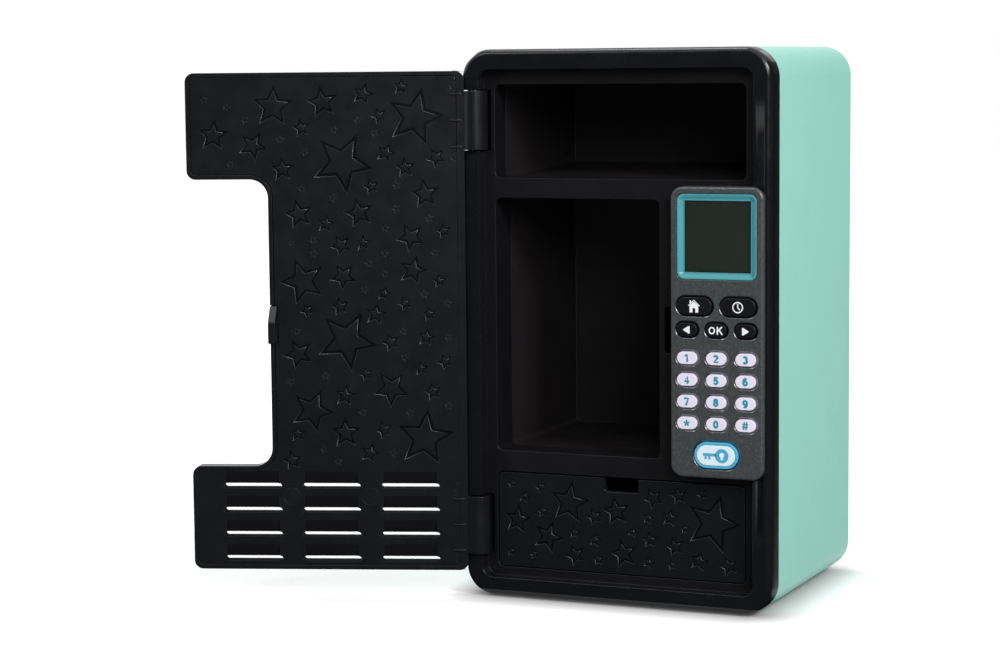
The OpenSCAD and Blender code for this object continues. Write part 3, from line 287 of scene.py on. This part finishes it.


# Each black's second, paler tone is a painted highlight along its edges and corners
finishes = {
    "mint_shell": moulded("mint_shell", tone(162, 224, 209), roughness=0.42, gloss=0.35, mottle=0.012,
                          grain=0.5, depth=0.012),
    "black_gloss": moulded("black_gloss", tone(20, 21, 24), roughness=0.24, gloss=0.45, mottle=0.1,
                           grain=0.6, depth=0.006, painted_edge_light=0.3, painted_edge_tone=tone(48, 48, 52)),
    "black_satin": moulded("black_satin", tone(20, 19, 22), roughness=0.4, gloss=0.3, mottle=0.1,
                           grain=0.3, depth=0.02, painted_edge_light=0.4, painted_edge_tone=tone(44, 44, 48)),
    "door_black": moulded("door_black", tone(21, 22, 25), roughness=0.32, gloss=0.4, mottle=0.08,
                          grain=0.3, depth=0.02, painted_edge_light=0.5, painted_edge_tone=tone(60, 60, 66)),
    "drawer_black": moulded("drawer_black", tone(19, 22, 25), roughness=0.34, gloss=0.38, mottle=0.08,
                            grain=0.3, depth=0.02, painted_edge_light=0.5, painted_edge_tone=tone(54, 58, 64)),
    # Matte, and darker than the door: painted shade for the hollows over the vents
    "vent_shade_matte": moulded("vent_shade_matte", tone(17, 17, 19), roughness=0.75, gloss=0.05, mottle=0.1,
                          grain=0.3, depth=0.02),
    # A paler black for the small stars: a painted highlight for the light their edges catch
    "star_highlight_black": moulded("star_highlight_black", tone(40, 41, 44), roughness=0.3, gloss=0.5, mottle=0.1, grain=0.3,
                         depth=0.02),
    # Painted shade: a deeper black for the floors of the star grooves and the gaps round the keys
    "painted_shade_black": moulded("painted_shade_black", tone(9, 10, 12), roughness=0.3, gloss=0.3, mottle=0.1,
                            grain=0.3, depth=0.01),
    "liner_black": moulded("liner_black", tone(34, 31, 33), roughness=0.42, gloss=0.3, mottle=0.1,
                           grain=0.3, depth=0.02, painted_edge_light=0.9, painted_edge_tone=tone(120, 120, 132)),
    "console_grey": sparkle_grey("console_grey", tone(78, 81, 83), flake=0.55),
    "rim_metal": brushed("rim_metal", tone(152, 154, 158), roughness=0.27),
    "screen_teal": moulded("screen_teal", tone(72, 156, 164), roughness=0.3, gloss=0.5, mottle=0.04,
                           grain=0.4, depth=0.01),
    "screen_window": clear_pane("screen_window", tone(40, 48, 40), alpha=0.35),
    "screen_dark": display("screen_dark", tone(56, 64, 55), cell=0.5),
    "key_white": moulded("key_white", tone(232, 226, 240), roughness=0.36, gloss=0.4, mottle=0.02,
                         grain=0.4, depth=0.008),
    "cap_pale": moulded("cap_pale", tone(224, 240, 247), roughness=0.3, gloss=0.45, mottle=0.02,
                        grain=0.4, depth=0.008),
    "key_black": moulded("key_black", tone(20, 20, 22), roughness=0.38, gloss=0.3, mottle=0.08,
                         grain=0.4, depth=0.01, painted_edge_light=0.4, painted_edge_tone=tone(60, 60, 66)),
    "key_blue": moulded("key_blue", tone(76, 178, 214), roughness=0.3, gloss=0.45, mottle=0.04,
                        grain=0.4, depth=0.008),
    "steel": brushed("steel", tone(190, 192, 196), roughness=0.3),
    "rubber_foot": moulded("rubber_foot", tone(44, 44, 46), roughness=0.8, gloss=0.2, mottle=0.15,
                           grain=0.6, depth=0.08),
    "membrane": moulded("membrane", tone(168, 168, 162), roughness=0.62, gloss=0.3, mottle=0.05,
                        grain=0.8, depth=0.04),
    "board_green": board("board_green", tone(24, 84, 50), tone(52, 128, 74)),
    "copper_winding": wound("copper_winding", tone(196, 118, 70), pitch=0.3),
    "cell": sleeved("cell", tone(204, 150, 70), tone(40, 40, 44)),
    "print_teal": moulded("print_teal", tone(6, 146, 168), roughness=0.45, gloss=0.3, mottle=0.03,
                          grain=0.3, depth=0.004),
    "print_white": moulded("print_white", tone(236, 238, 242), roughness=0.45, gloss=0.3, mottle=0.03,
                           grain=0.3, depth=0.004),
    "print_blue": moulded("print_blue", tone(72, 168, 206), roughness=0.45, gloss=0.3, mottle=0.03,
                          grain=0.3, depth=0.004),
}


# Mesh building

# An edge counts as sharp, and stays sharp in the shading, from this angle
sharp_turn = math.radians(35)
# A place this near a plane counts as in it
slack = 0.03 * MM
print_t = 0.05


def sharp_edges(bm):
    return [e for e in bm.edges if e.is_manifold and e.calc_face_angle(0.0) > sharp_turn]


def round_off(bm, edges, width, segments=2):
    """Rounds these edges by width millimetres."""
    if edges:
        bmesh.ops.bevel(
            bm, geom=edges, offset=width * MM, offset_type="OFFSET", segments=segments,
            profile=0.5, affect="EDGES", clamp_overlap=False, material=-1,
        )


def settle(name, bm, body, slot, finish=None, replaced=()):
    """Makes the shaped mesh a piece that rides on a body and takes its finish from a slot."""
    mesh = bpy.data.meshes.new(name)
    bm.to_mesh(mesh)
    bm.free()
    for face in mesh.polygons:
        face.use_smooth = True
    mesh.set_sharp_from_angle(angle=sharp_turn)
    piece = bpy.data.objects.new(name, mesh)
    bpy.context.scene.collection.objects.link(piece)
    mesh.materials.append(finishes[finish or slot])
    weigh = piece.modifiers.new("weigh", "WEIGHTED_NORMAL")
    weigh.keep_sharp = True
    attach(piece, body)
    if replaced:
        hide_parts(*replaced)
    return piece


def merged(node):
    """The faces of a CAD node as one closed shell with flat faces whole."""
    joined, flat = 0.002 * MM, math.radians(0.5)
    bm = bmesh.new()
    bm.from_mesh(frame["nodes"][node].data)
    bmesh.ops.remove_doubles(bm, verts=bm.verts, dist=joined)
    bmesh.ops.dissolve_limit(bm, angle_limit=flat, verts=bm.verts, edges=bm.edges)
    return bm


def body_of(node):
    return next(b for b, members in frame["record"]["behaviour"]["bodies"].items() if node in members)


def slot_of(node):
    return next(s["material_slot"] for s in frame["record"]["subparts"] if s["node"] == node)


def dress(node, width=0.25, segments=2, finish=None, choose=None, shape=None):
    """A CAD node with its sharp edges eased: all of them, or those whose middle choose says yes to.

    The mesh is changed by shape first. The finish is the slot's unless another is named.
    """
    bm = merged(node)
    if shape:
        shape(bm)
    edges = sharp_edges(bm)
    if choose:
        edges = [e for e in edges if choose((e.verts[0].co + e.verts[1].co) / 2)]
    round_off(bm, edges, width, segments)
    return settle(node + "_skin", bm, body_of(node), slot_of(node), finish, [node])


def refinish(piece, finish, picked):
    """Gives another finish to the faces of a piece that picked says yes to."""
    piece.data.materials.append(finishes[finish])
    index = len(piece.data.materials) - 1
    for face in piece.data.polygons:
        if picked(face):
            face.material_index = index


def flat_print(name, loops, node, slot, finish):
    """A thin shape printed on a node. A loop is (x, z, radius) or a list of points."""
    circle_reach = 0.5523
    curve = bpy.data.curves.new(name, "CURVE")
    curve.dimensions = "2D"
    curve.fill_mode = "BOTH"
    curve.extrude = print_t / 2 * MM
    curve.resolution_u = 10
    for loop in loops:
        if isinstance(loop, tuple):
            x, z, radius = loop
            spline = curve.splines.new("BEZIER")
            spline.bezier_points.add(3)
            reach = radius * circle_reach
            for turn, point in enumerate(spline.bezier_points):
                out = Vector((math.cos(turn * math.pi / 2), math.sin(turn * math.pi / 2), 0))
                side = Vector((-out.y, out.x, 0))
                spot = Vector((x, z, 0)) + out * radius
                point.co = spot * MM
                point.handle_left = (spot - side * reach) * MM
                point.handle_right = (spot + side * reach) * MM
        else:
            spline = curve.splines.new("POLY")
            spline.points.add(len(loop) - 1)
            for point, (x, z) in zip(spline.points, loop):
                point.co = (x * MM, z * MM, 0, 1)
        spline.use_cyclic_u = True
    stand_up(name, curve, node, slot, finish)


def bend(x, z, wide, high, start, stop, steps=16):
    """Points round an oval about (x, z), from one angle in degrees to another."""
    turns = [math.radians(start + (stop - start) * i / steps) for i in range(steps + 1)]
    return [(x + wide * math.cos(turn), z + high * math.sin(turn)) for turn in turns]


def pen_print(name, lines, pen, node, slot, finish):
    """A thin sign drawn on a node with a pen. A line that ends where it starts is closed."""
    same_spot = 0.001
    curve = bpy.data.curves.new(name, "CURVE")
    curve.dimensions = "3D"
    curve.bevel_depth = pen / 2 * MM
    curve.bevel_resolution = 2
    curve.use_fill_caps = True
    for line in lines:
        closed = math.dist(line[0], line[-1]) < same_spot
        points = line[:-1] if closed else line
        spline = curve.splines.new("POLY")
        spline.points.add(len(points) - 1)
        for point, (x, z) in zip(spline.points, points):
            point.co = (x * MM, z * MM, 0, 1)
        spline.use_cyclic_u = closed
    stand_up(name, curve, node, slot, finish, press=print_t / pen)


def stand_up(name, curve, node, slot, finish, press=1.0):
    """Turns a curve into a pressed flat mesh and stands it on the front of a node."""
    joined = 0.001 * MM
    draft = bpy.data.objects.new(name + "_draft", curve)
    bpy.context.scene.collection.objects.link(draft)
    bpy.context.view_layer.update()
    mesh = bpy.data.meshes.new_from_object(draft.evaluated_get(bpy.context.evaluated_depsgraph_get()))
    bpy.data.objects.remove(draft)
    bm = bmesh.new()
    bm.from_mesh(mesh)
    bpy.data.meshes.remove(mesh)
    bmesh.ops.remove_doubles(bm, verts=bm.verts, dist=joined)
    bmesh.ops.scale(bm, vec=(1, 1, press), verts=bm.verts)
    middle, front = centre(node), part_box(node)[0].y
    place = Matrix.Translation((middle.x, front - print_t / 2 * MM, middle.z))
    bmesh.ops.transform(bm, matrix=place @ Matrix.Rotation(math.pi / 2, 4, "X"), verts=bm.verts)
    settle(name, bm, body_of(node), slot, finish)


def level_with(spot, y):
    """Whether a place lies in the plane at this depth."""
    return abs(spot.y - y) < slack


def within(spot, low, high, margin=0.0):
    """Whether a place seen from the front lies between two corners, away from the border."""
    return (low.x + margin < spot.x < high.x - margin
            and low.z + margin < spot.z < high.z - margin)


# Shell and front

dress("outer_shell", width=0.4)

recess_floor = bezel_y + 7.7 * MM
plate_y = recess_floor - 0.7 * MM
corner_limit = 60
console_low, console_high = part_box("console_face")


def seen_edge(edge):
    """Whether an edge of the front frame shows, rather than lies behind the plate or the console."""
    covered = within((edge.verts[0].co + edge.verts[1].co) / 2, console_low, console_high)
    return max(v.co.y for v in edge.verts) < recess_floor and not covered


frame_skin = merged("front_frame")
round_off(frame_skin, [e for e in sharp_edges(frame_skin) if seen_edge(e)], width=0.3)
# Faces with very many corners shade badly unless they are cut up
many_cornered = [face for face in frame_skin.faces if len(face.verts) > corner_limit]
bmesh.ops.triangulate(frame_skin, faces=many_cornered)
front_frame = settle("front_frame_skin", frame_skin, "cabinet", "black_gloss",
                     replaced=["front_frame"])
refinish(front_frame, "black_satin", lambda face: face.center.y > plate_y)

for node in ("upper_liner", "main_liner"):
    dress(node, width=0.5, segments=3, finish="liner_black")
dress("drawer_housing", width=0.5, segments=3)
dress("feet", width=0.3)

# The star grooves of the drawer and the door
star_slope = 0.34
star_depth = 0.4 * MM


def slope_stars(bm, turn, face_y, inside):
    """Softens the brink of each star groove in a face at this depth, once bm is turned to lie flat."""
    def on_brink(edge):
        ends = [turn @ v.co for v in edge.verts]
        return all(level_with(end, face_y) and inside(end) for end in ends)
    round_off(bm, [e for e in sharp_edges(bm) if on_brink(e)], star_slope)


# Drawer
drawer_low, drawer_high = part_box("drawer_front")
drawer_border = 2 * MM
dress("drawer_tray", width=0.3)


def in_drawer_field(spot):
    return within(spot, drawer_low, drawer_high, drawer_border)


drawer_front = dress(
    "drawer_front", width=0.12, choose=lambda spot: not in_drawer_field(spot),
    shape=lambda bm: slope_stars(bm, Matrix.Identity(4), drawer_low.y, in_drawer_field),
)
# The floors of the star grooves are painted darker, a painted shade
refinish(drawer_front, "painted_shade_black",
         lambda face: level_with(face.center, drawer_low.y + star_depth))

# Door. Its places are told with the door shut. The field of stars starts over the vents
liner_depth = 6.8
field_low, field_high = at(-68, liner_depth, 62), at(71, liner_depth, 268)
liner_y = field_low.y
door_back_y = bezel_y - 1.0 * MM
skin_depth = 0.2 * MM
shut = swing.inverted()


def in_star_field(spot):
    return within(spot, field_low, field_high)


def in_vent(face):
    """Whether a face of the door lies in a vent or in the hollow over it."""
    spot = shut @ face.center
    return spot.z < field_low.z and door_back_y + skin_depth < spot.y < liner_y - skin_depth


door_shell = dress("door_shell", width=0.25, finish="door_black")
# The vents and their hollows take the matte black, whose darker tone is painted shade
refinish(door_shell, "vent_shade_matte", in_vent)
refinish(door_shell, "drawer_black", lambda face: level_with(shut @ face.center, liner_y))
door_liner = dress("door_liner", width=0.1, finish="door_black",
                   shape=lambda bm: slope_stars(bm, shut, liner_y, in_star_field),
                   choose=lambda spot: not in_star_field(shut @ spot))
# The vents and their hollows take the matte black, whose darker tone is painted shade
refinish(door_liner, "vent_shade_matte", in_vent)
# The floors of the star grooves are painted darker, a painted shade
refinish(door_liner, "painted_shade_black",
         lambda face: level_with(shut @ face.center, liner_y - star_depth))
dress("door_plugs", width=0.15, finish="drawer_black")
dress("latch_hook", width=0.6, segments=3, finish="door_black")

# The smallest stars of the door: x, z and tilt
small_stars = [
    (62.5, 255.5, 10), (51, 251.5, -10), (41.5, 245, 20), (23.5, 235, 0), (11, 228.5, 30),
    (49.5, 222.5, 15), (-4.5, 240, -15), (-16.5, 244.5, 8), (-25, 238, 28), (13, 210, 5),
    (-3, 205, -20), (-36, 211.5, 12), (-35.5, 199.5, 22), (-30, 189.5, -5), (18.5, 182, 16),
    (7, 176.5, -12), (-21, 171.5, 4), (-55, 177, 18), (-61.5, 151, -8), (-61.5, 133.5, 26),
    (-38.5, 136.5, 0), (16.5, 136.5, 14), (-39, 123, -18), (2, 113.5, 6), (20, 110.5, 24),
    (-61.5, 98, -4), (-17, 94.5, 10), (3.5, 75.5, 20), (-32.5, 73.5, -14), (-4, 69, 2),
    (-52.5, 194.5, 8), (7.5, 183.5, 20), (-29.5, 176.5, -10), (-29.5, 166, 15), (-19, 158, -20),
    (-49.5, 155.5, 5), (-41.5, 94.5, 12),
]
small_star_r = 2.5
small_star_waist = 0.45
small_star_band = 0.45
small_star_rise = 0.2
small_star_soft = 0.06


def star_band():
    """One small star: a band with a raised front, flat on the XY plane."""
    bm = bmesh.new()
    points = bmesh.ops.create_circle(bm, cap_ends=True, segments=10, radius=small_star_r * MM)["verts"]
    bmesh.ops.scale(bm, vec=(small_star_waist, small_star_waist, 1), verts=points[1::2])
    field = bm.faces[:]
    bmesh.ops.inset_individual(bm, faces=field, thickness=small_star_band * MM)
    bmesh.ops.delete(bm, geom=field, context="FACES")
    grown = bmesh.ops.extrude_face_region(bm, geom=bm.faces[:])["geom"]
    raised = [g for g in grown if isinstance(g, bmesh.types.BMVert)]
    bmesh.ops.translate(bm, vec=(0, 0, small_star_rise * MM), verts=raised)
    mesh = bpy.data.meshes.new("star_band")
    bm.to_mesh(mesh)
    bm.free()
    return mesh


one_star = star_band()
star_sky = bmesh.new()
for x, z, tilt in small_stars:
    made = len(star_sky.verts)
    star_sky.from_mesh(one_star)
    star_sky.verts.ensure_lookup_table()
    upright = (Matrix.Rotation(-math.pi / 2, 4, "X")
               @ Matrix.Rotation(math.radians(180 + tilt), 4, "Z"))
    place = swing @ Matrix.Translation(at(x, liner_depth, z)) @ upright
    bmesh.ops.transform(star_sky, matrix=place, verts=star_sky.verts[made:])
bmesh.ops.recalc_face_normals(star_sky, faces=star_sky.faces)
round_off(star_sky, sharp_edges(star_sky), small_star_soft)
# The small stars take the paler black, a painted highlight
settle("small_stars", star_sky, "door", slot_of("door_liner"), "star_highlight_black")

# Console
surround_low, surround_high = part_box("screen_surround")
console_front = console_low.y
console_back = console_front + 2.5 * MM
console_border = 2.4 * MM
keys_top = surround_low.z - 1 * MM
rim_width = 1.25
screen_rim_width = 0.5
metal_depth = 0.5 * MM


def open_rims(bm):
    """Rounds the front edges of the key openings and of the screen opening."""
    on_face = [e for e in sharp_edges(bm) if all(level_with(v.co, console_front) for v in e.verts)]
    round_off(bm, [e for e in on_face if e.verts[0].co.z < keys_top], rim_width, segments=5)
    on_face = [e for e in sharp_edges(bm) if all(level_with(v.co, console_front) for v in e.verts)]
    round_off(bm, [e for e in on_face if e.verts[0].co.z > keys_top], screen_rim_width, segments=3)


def round_opening(face):
    """Whether a face belongs to the rounded rim of a key opening."""
    flat = 0.97
    return (abs(face.normal.y) < flat and face.center.y < console_front + rim_width * MM
            and within(face.center, console_low, console_high, console_border)
            and face.center.z < keys_top)


console = dress("console_face", width=0.2, shape=open_rims,
                choose=lambda spot: spot.y > console_back)
refinish(console, "rim_metal",
         lambda face: round_opening(face) and face.center.y < console_front + metal_depth)
# The deeper part of each key opening's rim is painted dark, a painted shade in the gap round the key
refinish(console, "painted_shade_black",
         lambda face: round_opening(face) and face.center.y >= console_front + metal_depth)

# Screen
brink_depth, lip_depth, foot_depth = 0.1 * MM, 0.4 * MM, 1.3 * MM
lip_press, foot_press = 0.6, 1.85
window_step = 0.6 * MM
surround_corner, surround_edge = 3.2 * MM, 0.2 * MM


def deepen(bm):
    """Makes the slopes of the screen surround steep, from a narrow lip down to the window."""
    front = Matrix.Translation((0, -surround_low.y, 0))
    slope = [v for v in bm.verts if brink_depth < v.co.y - surround_low.y < foot_depth]
    lip = [v for v in slope if v.co.y - surround_low.y < lip_depth]
    foot = [v for v in slope if v not in lip]
    bmesh.ops.scale(bm, vec=(1, lip_press, 1), verts=lip, space=front)
    bmesh.ops.scale(bm, vec=(1, foot_press, 1), verts=foot, space=front)


def set_back(bm):
    """Brings the front of the window down to the foot of the slopes."""
    pane_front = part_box("screen_window")[0].y
    front = [v for v in bm.verts if level_with(v.co, pane_front)]
    bmesh.ops.translate(bm, vec=(0, window_step, 0), verts=front)


def outer_brink(spot):
    """Whether an edge of the surround runs round its outside, at the front."""
    near_corner = (min(spot.x - surround_low.x, surround_high.x - spot.x) < surround_corner
                   and min(spot.z - surround_low.z, surround_high.z - spot.z) < surround_corner)
    inside = within(spot, surround_low, surround_high, surround_edge)
    return level_with(spot, surround_low.y) and (near_corner or not inside)


dress("screen_surround", width=0.3, segments=3, shape=deepen, choose=outer_brink)
dress("screen_window", width=0.1, shape=set_back)
dress("screen_module", width=0.1)

# Keys
key_edge = 0.4
number_keys = ["key_" + sign for sign in "1 2 3 4 5 6 7 8 9 star 0 hash".split()]
other_keys = ["key_left", "key_ok", "key_right", "key_home", "key_clock", "key_unlock"]
for key in number_keys + other_keys + ["unlock_cap"]:
    dress(key, key_edge, segments=4, finish="cap_pale" if key == "unlock_cap" else None,
          choose=lambda spot, front=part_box(key)[0].y: level_with(spot, front))

# Signs on the keys. Their lines are in millimetres from the middle of the key
digit_pen, symbol_pen, ok_pen, clock_pen = 1.12, 0.8, 0.74, 0.6
six = [bend(0, -0.6, 0.88, 0.93, 0, 360), bend(0.05, 0, 0.93, 1.53, 48, 185)]
signs = {
    "key_1": [[(-0.95, 0.95), (0.3, 1.5), (0.3, -1.95)]],
    "key_2": [bend(0, 0.7, 0.88, 0.83, 165, -35) + [(-0.85, -1.53), (1.3, -1.53)]],
    "key_3": [bend(-0.05, 0.78, 0.8, 0.75, 160, -80), bend(0, -0.7, 0.88, 0.83, 85, -160)],
    "key_4": [[(0.45, -1.95), (0.45, 1.5), (-0.95, -0.8), (1.3, -0.8)]],
    "key_5": [[(1.1, 1.53), (-0.6, 1.53), (-0.8, 0.05)] + bend(0, -0.55, 0.88, 0.98, 140, -160)],
    "key_6": six,
    "key_7": [[(-1.25, 1.53), (0.85, 1.53), (-0.35, -1.95)]],
    "key_8": [bend(0, 0.8, 0.74, 0.73, 0, 360), bend(0, -0.72, 0.88, 0.81, 0, 360)],
    "key_9": [[(-x, -z) for x, z in line] for line in six],
    "key_0": [bend(0, 0, 0.88, 1.53, 0, 360)],
    "key_star": [[(0, 0), arm] for arm in bend(0, 0, 1.65, 1.65, 90, 378, 4)],
    "key_hash": [[(-0.85, -1.95), (-0.4, 1.95)], [(0.4, -1.95), (0.85, 1.95)],
                 [(-1.4, 0.68), (1.5, 0.68)], [(-1.5, -0.68), (1.4, -0.68)]],
}
for key, lines in signs.items():
    pen = symbol_pen if key in ("key_star", "key_hash") else digit_pen
    pen_print(key + "_sign", lines, pen, key, "key_blue", "print_teal")

letters = [bend(-2.0, 0, 1.35, 1.5, 0, 360), [(0.85, -1.95), (0.85, 1.95)],
           [(3.2, 1.95), (0.95, -0.35)], [(1.75, 0.4), (3.4, -1.95)]]
pen_print("key_ok_sign", letters, ok_pen, "key_ok", "key_white", "print_white")

arrow = (bend(-1.35, 0, 0.4, 0.4, 120, 240, 4) + bend(1.25, -1.5, 0.4, 0.4, 240, 360, 4)
         + bend(1.25, 1.5, 0.4, 0.4, 0, 120, 4))
for key, side in (("key_left", 1), ("key_right", -1)):
    flat_print(key + "_sign", [[(side * x, z) for x, z in arrow]], key, "key_white", "print_white")

house = [(-2.3, -3.1), (-0.7, -3.1), (-0.7, -0.9), (0.7, -0.9), (0.7, -3.1), (2.3, -3.1),
         (2.3, 0.3), (0, 2.3), (-2.3, 0.3)]
roof = [(-3.05, 0.35), (-2.75, 0), (0, 2.75), (2.75, 0), (3.05, 0.35), (0, 3.25), (-1.4, 1.95),
        (-1.4, 2.9), (-2.2, 2.9), (-2.2, 1.15)]
flat_print("key_home_sign", [house, roof], "key_home", "key_white", "print_white")

dial = [bend(0, 0, 2.5, 2.5, 0, 360, 24), [(0, 1.8), (0, 0), (1.1, -1.2)]]
pen_print("key_clock_sign", dial, clock_pen, "key_clock", "key_white", "print_white")

bow_x, bow_r = 3.2, 3.5
key_hole = bend(bow_x, 0.45, 1.3, 1.3, -60, 240) + [(2.5, -2.0), (3.9, -2.0)]
shaft = [(-6.6, 1.1), (-6.6, -0.35), (-5.7, -0.35), (-5.7, -1.9), (-4.6, -1.9), (-4.6, -0.35),
         (-3.8, -0.35), (-3.8, -1.9), (-2.7, -1.9), (-2.7, -0.35), (0.1, -0.35), (0.1, 1.1)]
bow = [(bow_x, 0, bow_r), key_hole]
flat_print("unlock_bow_sign", bow, "unlock_cap", "key_blue", "print_blue")
flat_print("unlock_shaft_sign", [shaft], "unlock_cap", "key_blue", "print_blue")

# Rear
dress("battery_door", width=0.3)
dress("battery_door_screw", width=0.15)

# Every CAD node that still shows gets the finish of its slot
for name, node in frame["nodes"].items():
    if not node.hide_render:
        for index in range(len(node.data.materials)):
            node.data.materials[index] = finishes[slot_of(name)]

# Floor, light and camera, in metres


def sheets(name, places):
    """Flat sheets as one object. Each is 2 metres square before its place turns and scales it."""
    bm = bmesh.new()
    for place in places:
        bmesh.ops.create_grid(bm, x_segments=1, y_segments=1, size=1.0, matrix=place)
    mesh = bpy.data.meshes.new(name)
    bm.to_mesh(mesh)
    bm.free()
    piece = bpy.data.objects.new(name, mesh)
    bpy.context.scene.collection.objects.link(piece)
    return piece


def away_from(tree, place, middle, half):
    """How far a place on the floor is from a box that stands square on it."""
    inside = add(tree, "VectorMath", {0: place, 1: (*middle, 0)}, operation="SUBTRACT")
    width = add(tree, "VectorMath", {0: inside.outputs["Vector"]}, operation="ABSOLUTE")
    past = add(tree, "VectorMath", {0: width.outputs["Vector"], 1: (*half, 1)},
               operation="SUBTRACT")
    past = add(tree, "VectorMath", {0: past.outputs["Vector"], 1: (0, 0, 0)}, operation="MAXIMUM")
    return add(tree, "VectorMath", {0: past.outputs["Vector"]}, operation="LENGTH").outputs["Value"]


def white_floor(grey, white, painted_shadow, near_lift, far_lift):
    """A grey floor for the light it throws back, which the camera sees as white around the shadows.

    The shadow at the cabinet's foot is a painted shadow: the camera sees the floor greyer and less lifted there,
    fading over the contact width. The floor is lifted more and more from near to far.
    """
    foot_middle, foot_half, contact = (-0.002, 0.043), (0.068, 0.056), 0.03
    near, far = 0.3, 1.2
    material = bpy.data.materials.new("white_floor")
    material.use_nodes = True
    tree = material.node_tree
    tree.nodes.remove(tree.nodes["Principled BSDF"])
    place = add(tree, "TexCoord").outputs["Object"]
    gap = away_from(tree, place, foot_middle, foot_half)
    paint = add(tree, "BsdfDiffuse", {"Color": (grey, grey, grey, 1)}).outputs["BSDF"]
    painted_shadow_grey = spread(tree, gap, painted_shadow, white, 0.0, contact)
    seen_paint = add(tree, "BsdfDiffuse", {"Color": painted_shadow_grey}).outputs["BSDF"]
    distance = add(tree, "VectorMath", {0: place}, operation="LENGTH").outputs["Value"]
    # Near the foot the glow falls away as well, deepening the painted shadow
    lifts = {0: spread(tree, gap, 0.0, near_lift, 0.0, contact),
             1: spread(tree, distance, 0.0, far_lift - near_lift, near, far)}
    lift = add(tree, "Math", lifts, operation="ADD").outputs["Value"]
    glow = add(tree, "Emission", {"Strength": lift}).outputs["Emission"]
    bright = add(tree, "AddShader", {0: seen_paint, 1: glow}).outputs["Shader"]
    seen = seen_by(tree, "Is Camera Ray", "Is Glossy Ray")
    mix = add(tree, "MixShader", {0: seen, 1: paint, 2: bright}).outputs["Shader"]
    tree.links.new(mix, tree.nodes["Material Output"].inputs["Surface"])
    return material


floor_half = 6.0
floor = sheets("floor", [Matrix.Diagonal((floor_half, floor_half, 1, 1))])
floor.data.materials.append(
    white_floor(grey=0.6, white=0.96, painted_shadow=0.24, near_lift=0.34, far_lift=0.9)
)


def studio(strength):
    """A white room for the camera, and a plain soft light for everything in it."""
    world = bpy.data.worlds.new("studio")
    world.use_nodes = True
    tree = world.node_tree
    soft = tree.nodes["Background"]
    soft.inputs["Color"].default_value = (1, 1, 1, 1)
    soft.inputs["Strength"].default_value = strength
    white = add(tree, "Background", {"Color": (1, 1, 1, 1), "Strength": 1.0})
    seen = seen_by(tree, "Is Camera Ray", "Is Glossy Ray", "Is Transmission Ray")
    inputs = {0: seen, 1: soft.outputs["Background"], 2: white.outputs["Background"]}
    mix = add(tree, "MixShader", inputs).outputs["Shader"]
    tree.links.new(mix, tree.nodes["World Output"].inputs["Surface"])
    bpy.context.scene.world = world


studio(strength=0.28)


def lamp(name, spot, target, size, power):
    """A round soft lamp that looks at a target."""
    light = bpy.data.lights.new(name, "AREA")
    light.shape = "DISK"
    light.size = size
    light.energy = power
    stand = bpy.data.objects.new(name, light)
    bpy.context.scene.collection.objects.link(stand)
    aim = Vector(target) - Vector(spot)
    stand.matrix_world = Matrix.Translation(spot) @ aim.to_track_quat("-Z", "Y").to_matrix().to_4x4()


body_middle, upper_body = (0, 0.03, 0.14), (0, 0.03, 0.2)
lamp("key_light", (1.3, -0.75, 1.0), body_middle, size=0.4, power=15)
lamp("front_light", (1.0, -1.5, 0.85), body_middle, size=0.7, power=12)
lamp("left_light", (-0.9, -1.3, 1.1), body_middle, size=0.4, power=3)
lamp("top_light", (-0.35, 0.0, 1.5), body_middle, size=0.5, power=5)
lamp("rim_light", (-1.3, 0.6, 1.0), upper_body, size=0.5, power=7)

# Dark cards before the safe and to its right, which only reflections see.
# Each has its middle, its half width and half height, and the turn from lying flat
flat = Matrix.Identity(4)
on_x, on_y = Matrix.Rotation(math.pi / 2, 4, "X"), Matrix.Rotation(math.pi / 2, 4, "Y")
card_places = (
    ((-0.1, -1.7, 0.9), (1.8, 0.9), on_x),
    ((-0.1, -0.85, 0.004), (1.8, 0.85), flat),
    ((1.7, 0.0, 0.9), (0.9, 1.7), on_y),
    ((0.9, 1.7, 0.9), (0.8, 0.9), on_x),
    ((0.9, 0.85, 0.004), (0.81, 0.85), flat),
)
cards = sheets("dark_cards", [
    Matrix.Translation(middle) @ turned @ Matrix.Diagonal((*half, 1, 1))
    for middle, half, turned in card_places
])
cards.data.materials.append(moulded("card_black", tone(20, 20, 20), roughness=0.9, gloss=0.0))
cards.visible_camera = False
cards.visible_diffuse = False
cards.visible_shadow = False
cards.visible_transmission = False

# The photograph's view, with the lens in millimetres
eye = Vector((0.465642, -1.211971, 0.273944))
yaw, pitch, roll = math.radians(23.966), math.radians(6.022), math.radians(-0.529)
forward = Vector((-math.sin(yaw) * math.cos(pitch), math.cos(yaw) * math.cos(pitch), -math.sin(pitch)))
level = Vector((math.cos(yaw), math.sin(yaw), 0))
up = level.cross(forward)
right = level * math.cos(roll) + up * math.sin(roll)
top = up * math.cos(roll) - level * math.sin(roll)
lens = bpy.data.cameras.new("camera")
lens.sensor_width = 36
lens.lens = 92.22
lens.clip_start = 0.01
camera = bpy.data.objects.new("camera", lens)
bpy.context.scene.collection.objects.link(camera)
camera.matrix_world = Matrix.Translation(eye) @ Matrix((right, top, -forward)).transposed().to_4x4()
bpy.context.scene.camera = camera
bpy.context.scene.view_settings.view_transform = "Standard"
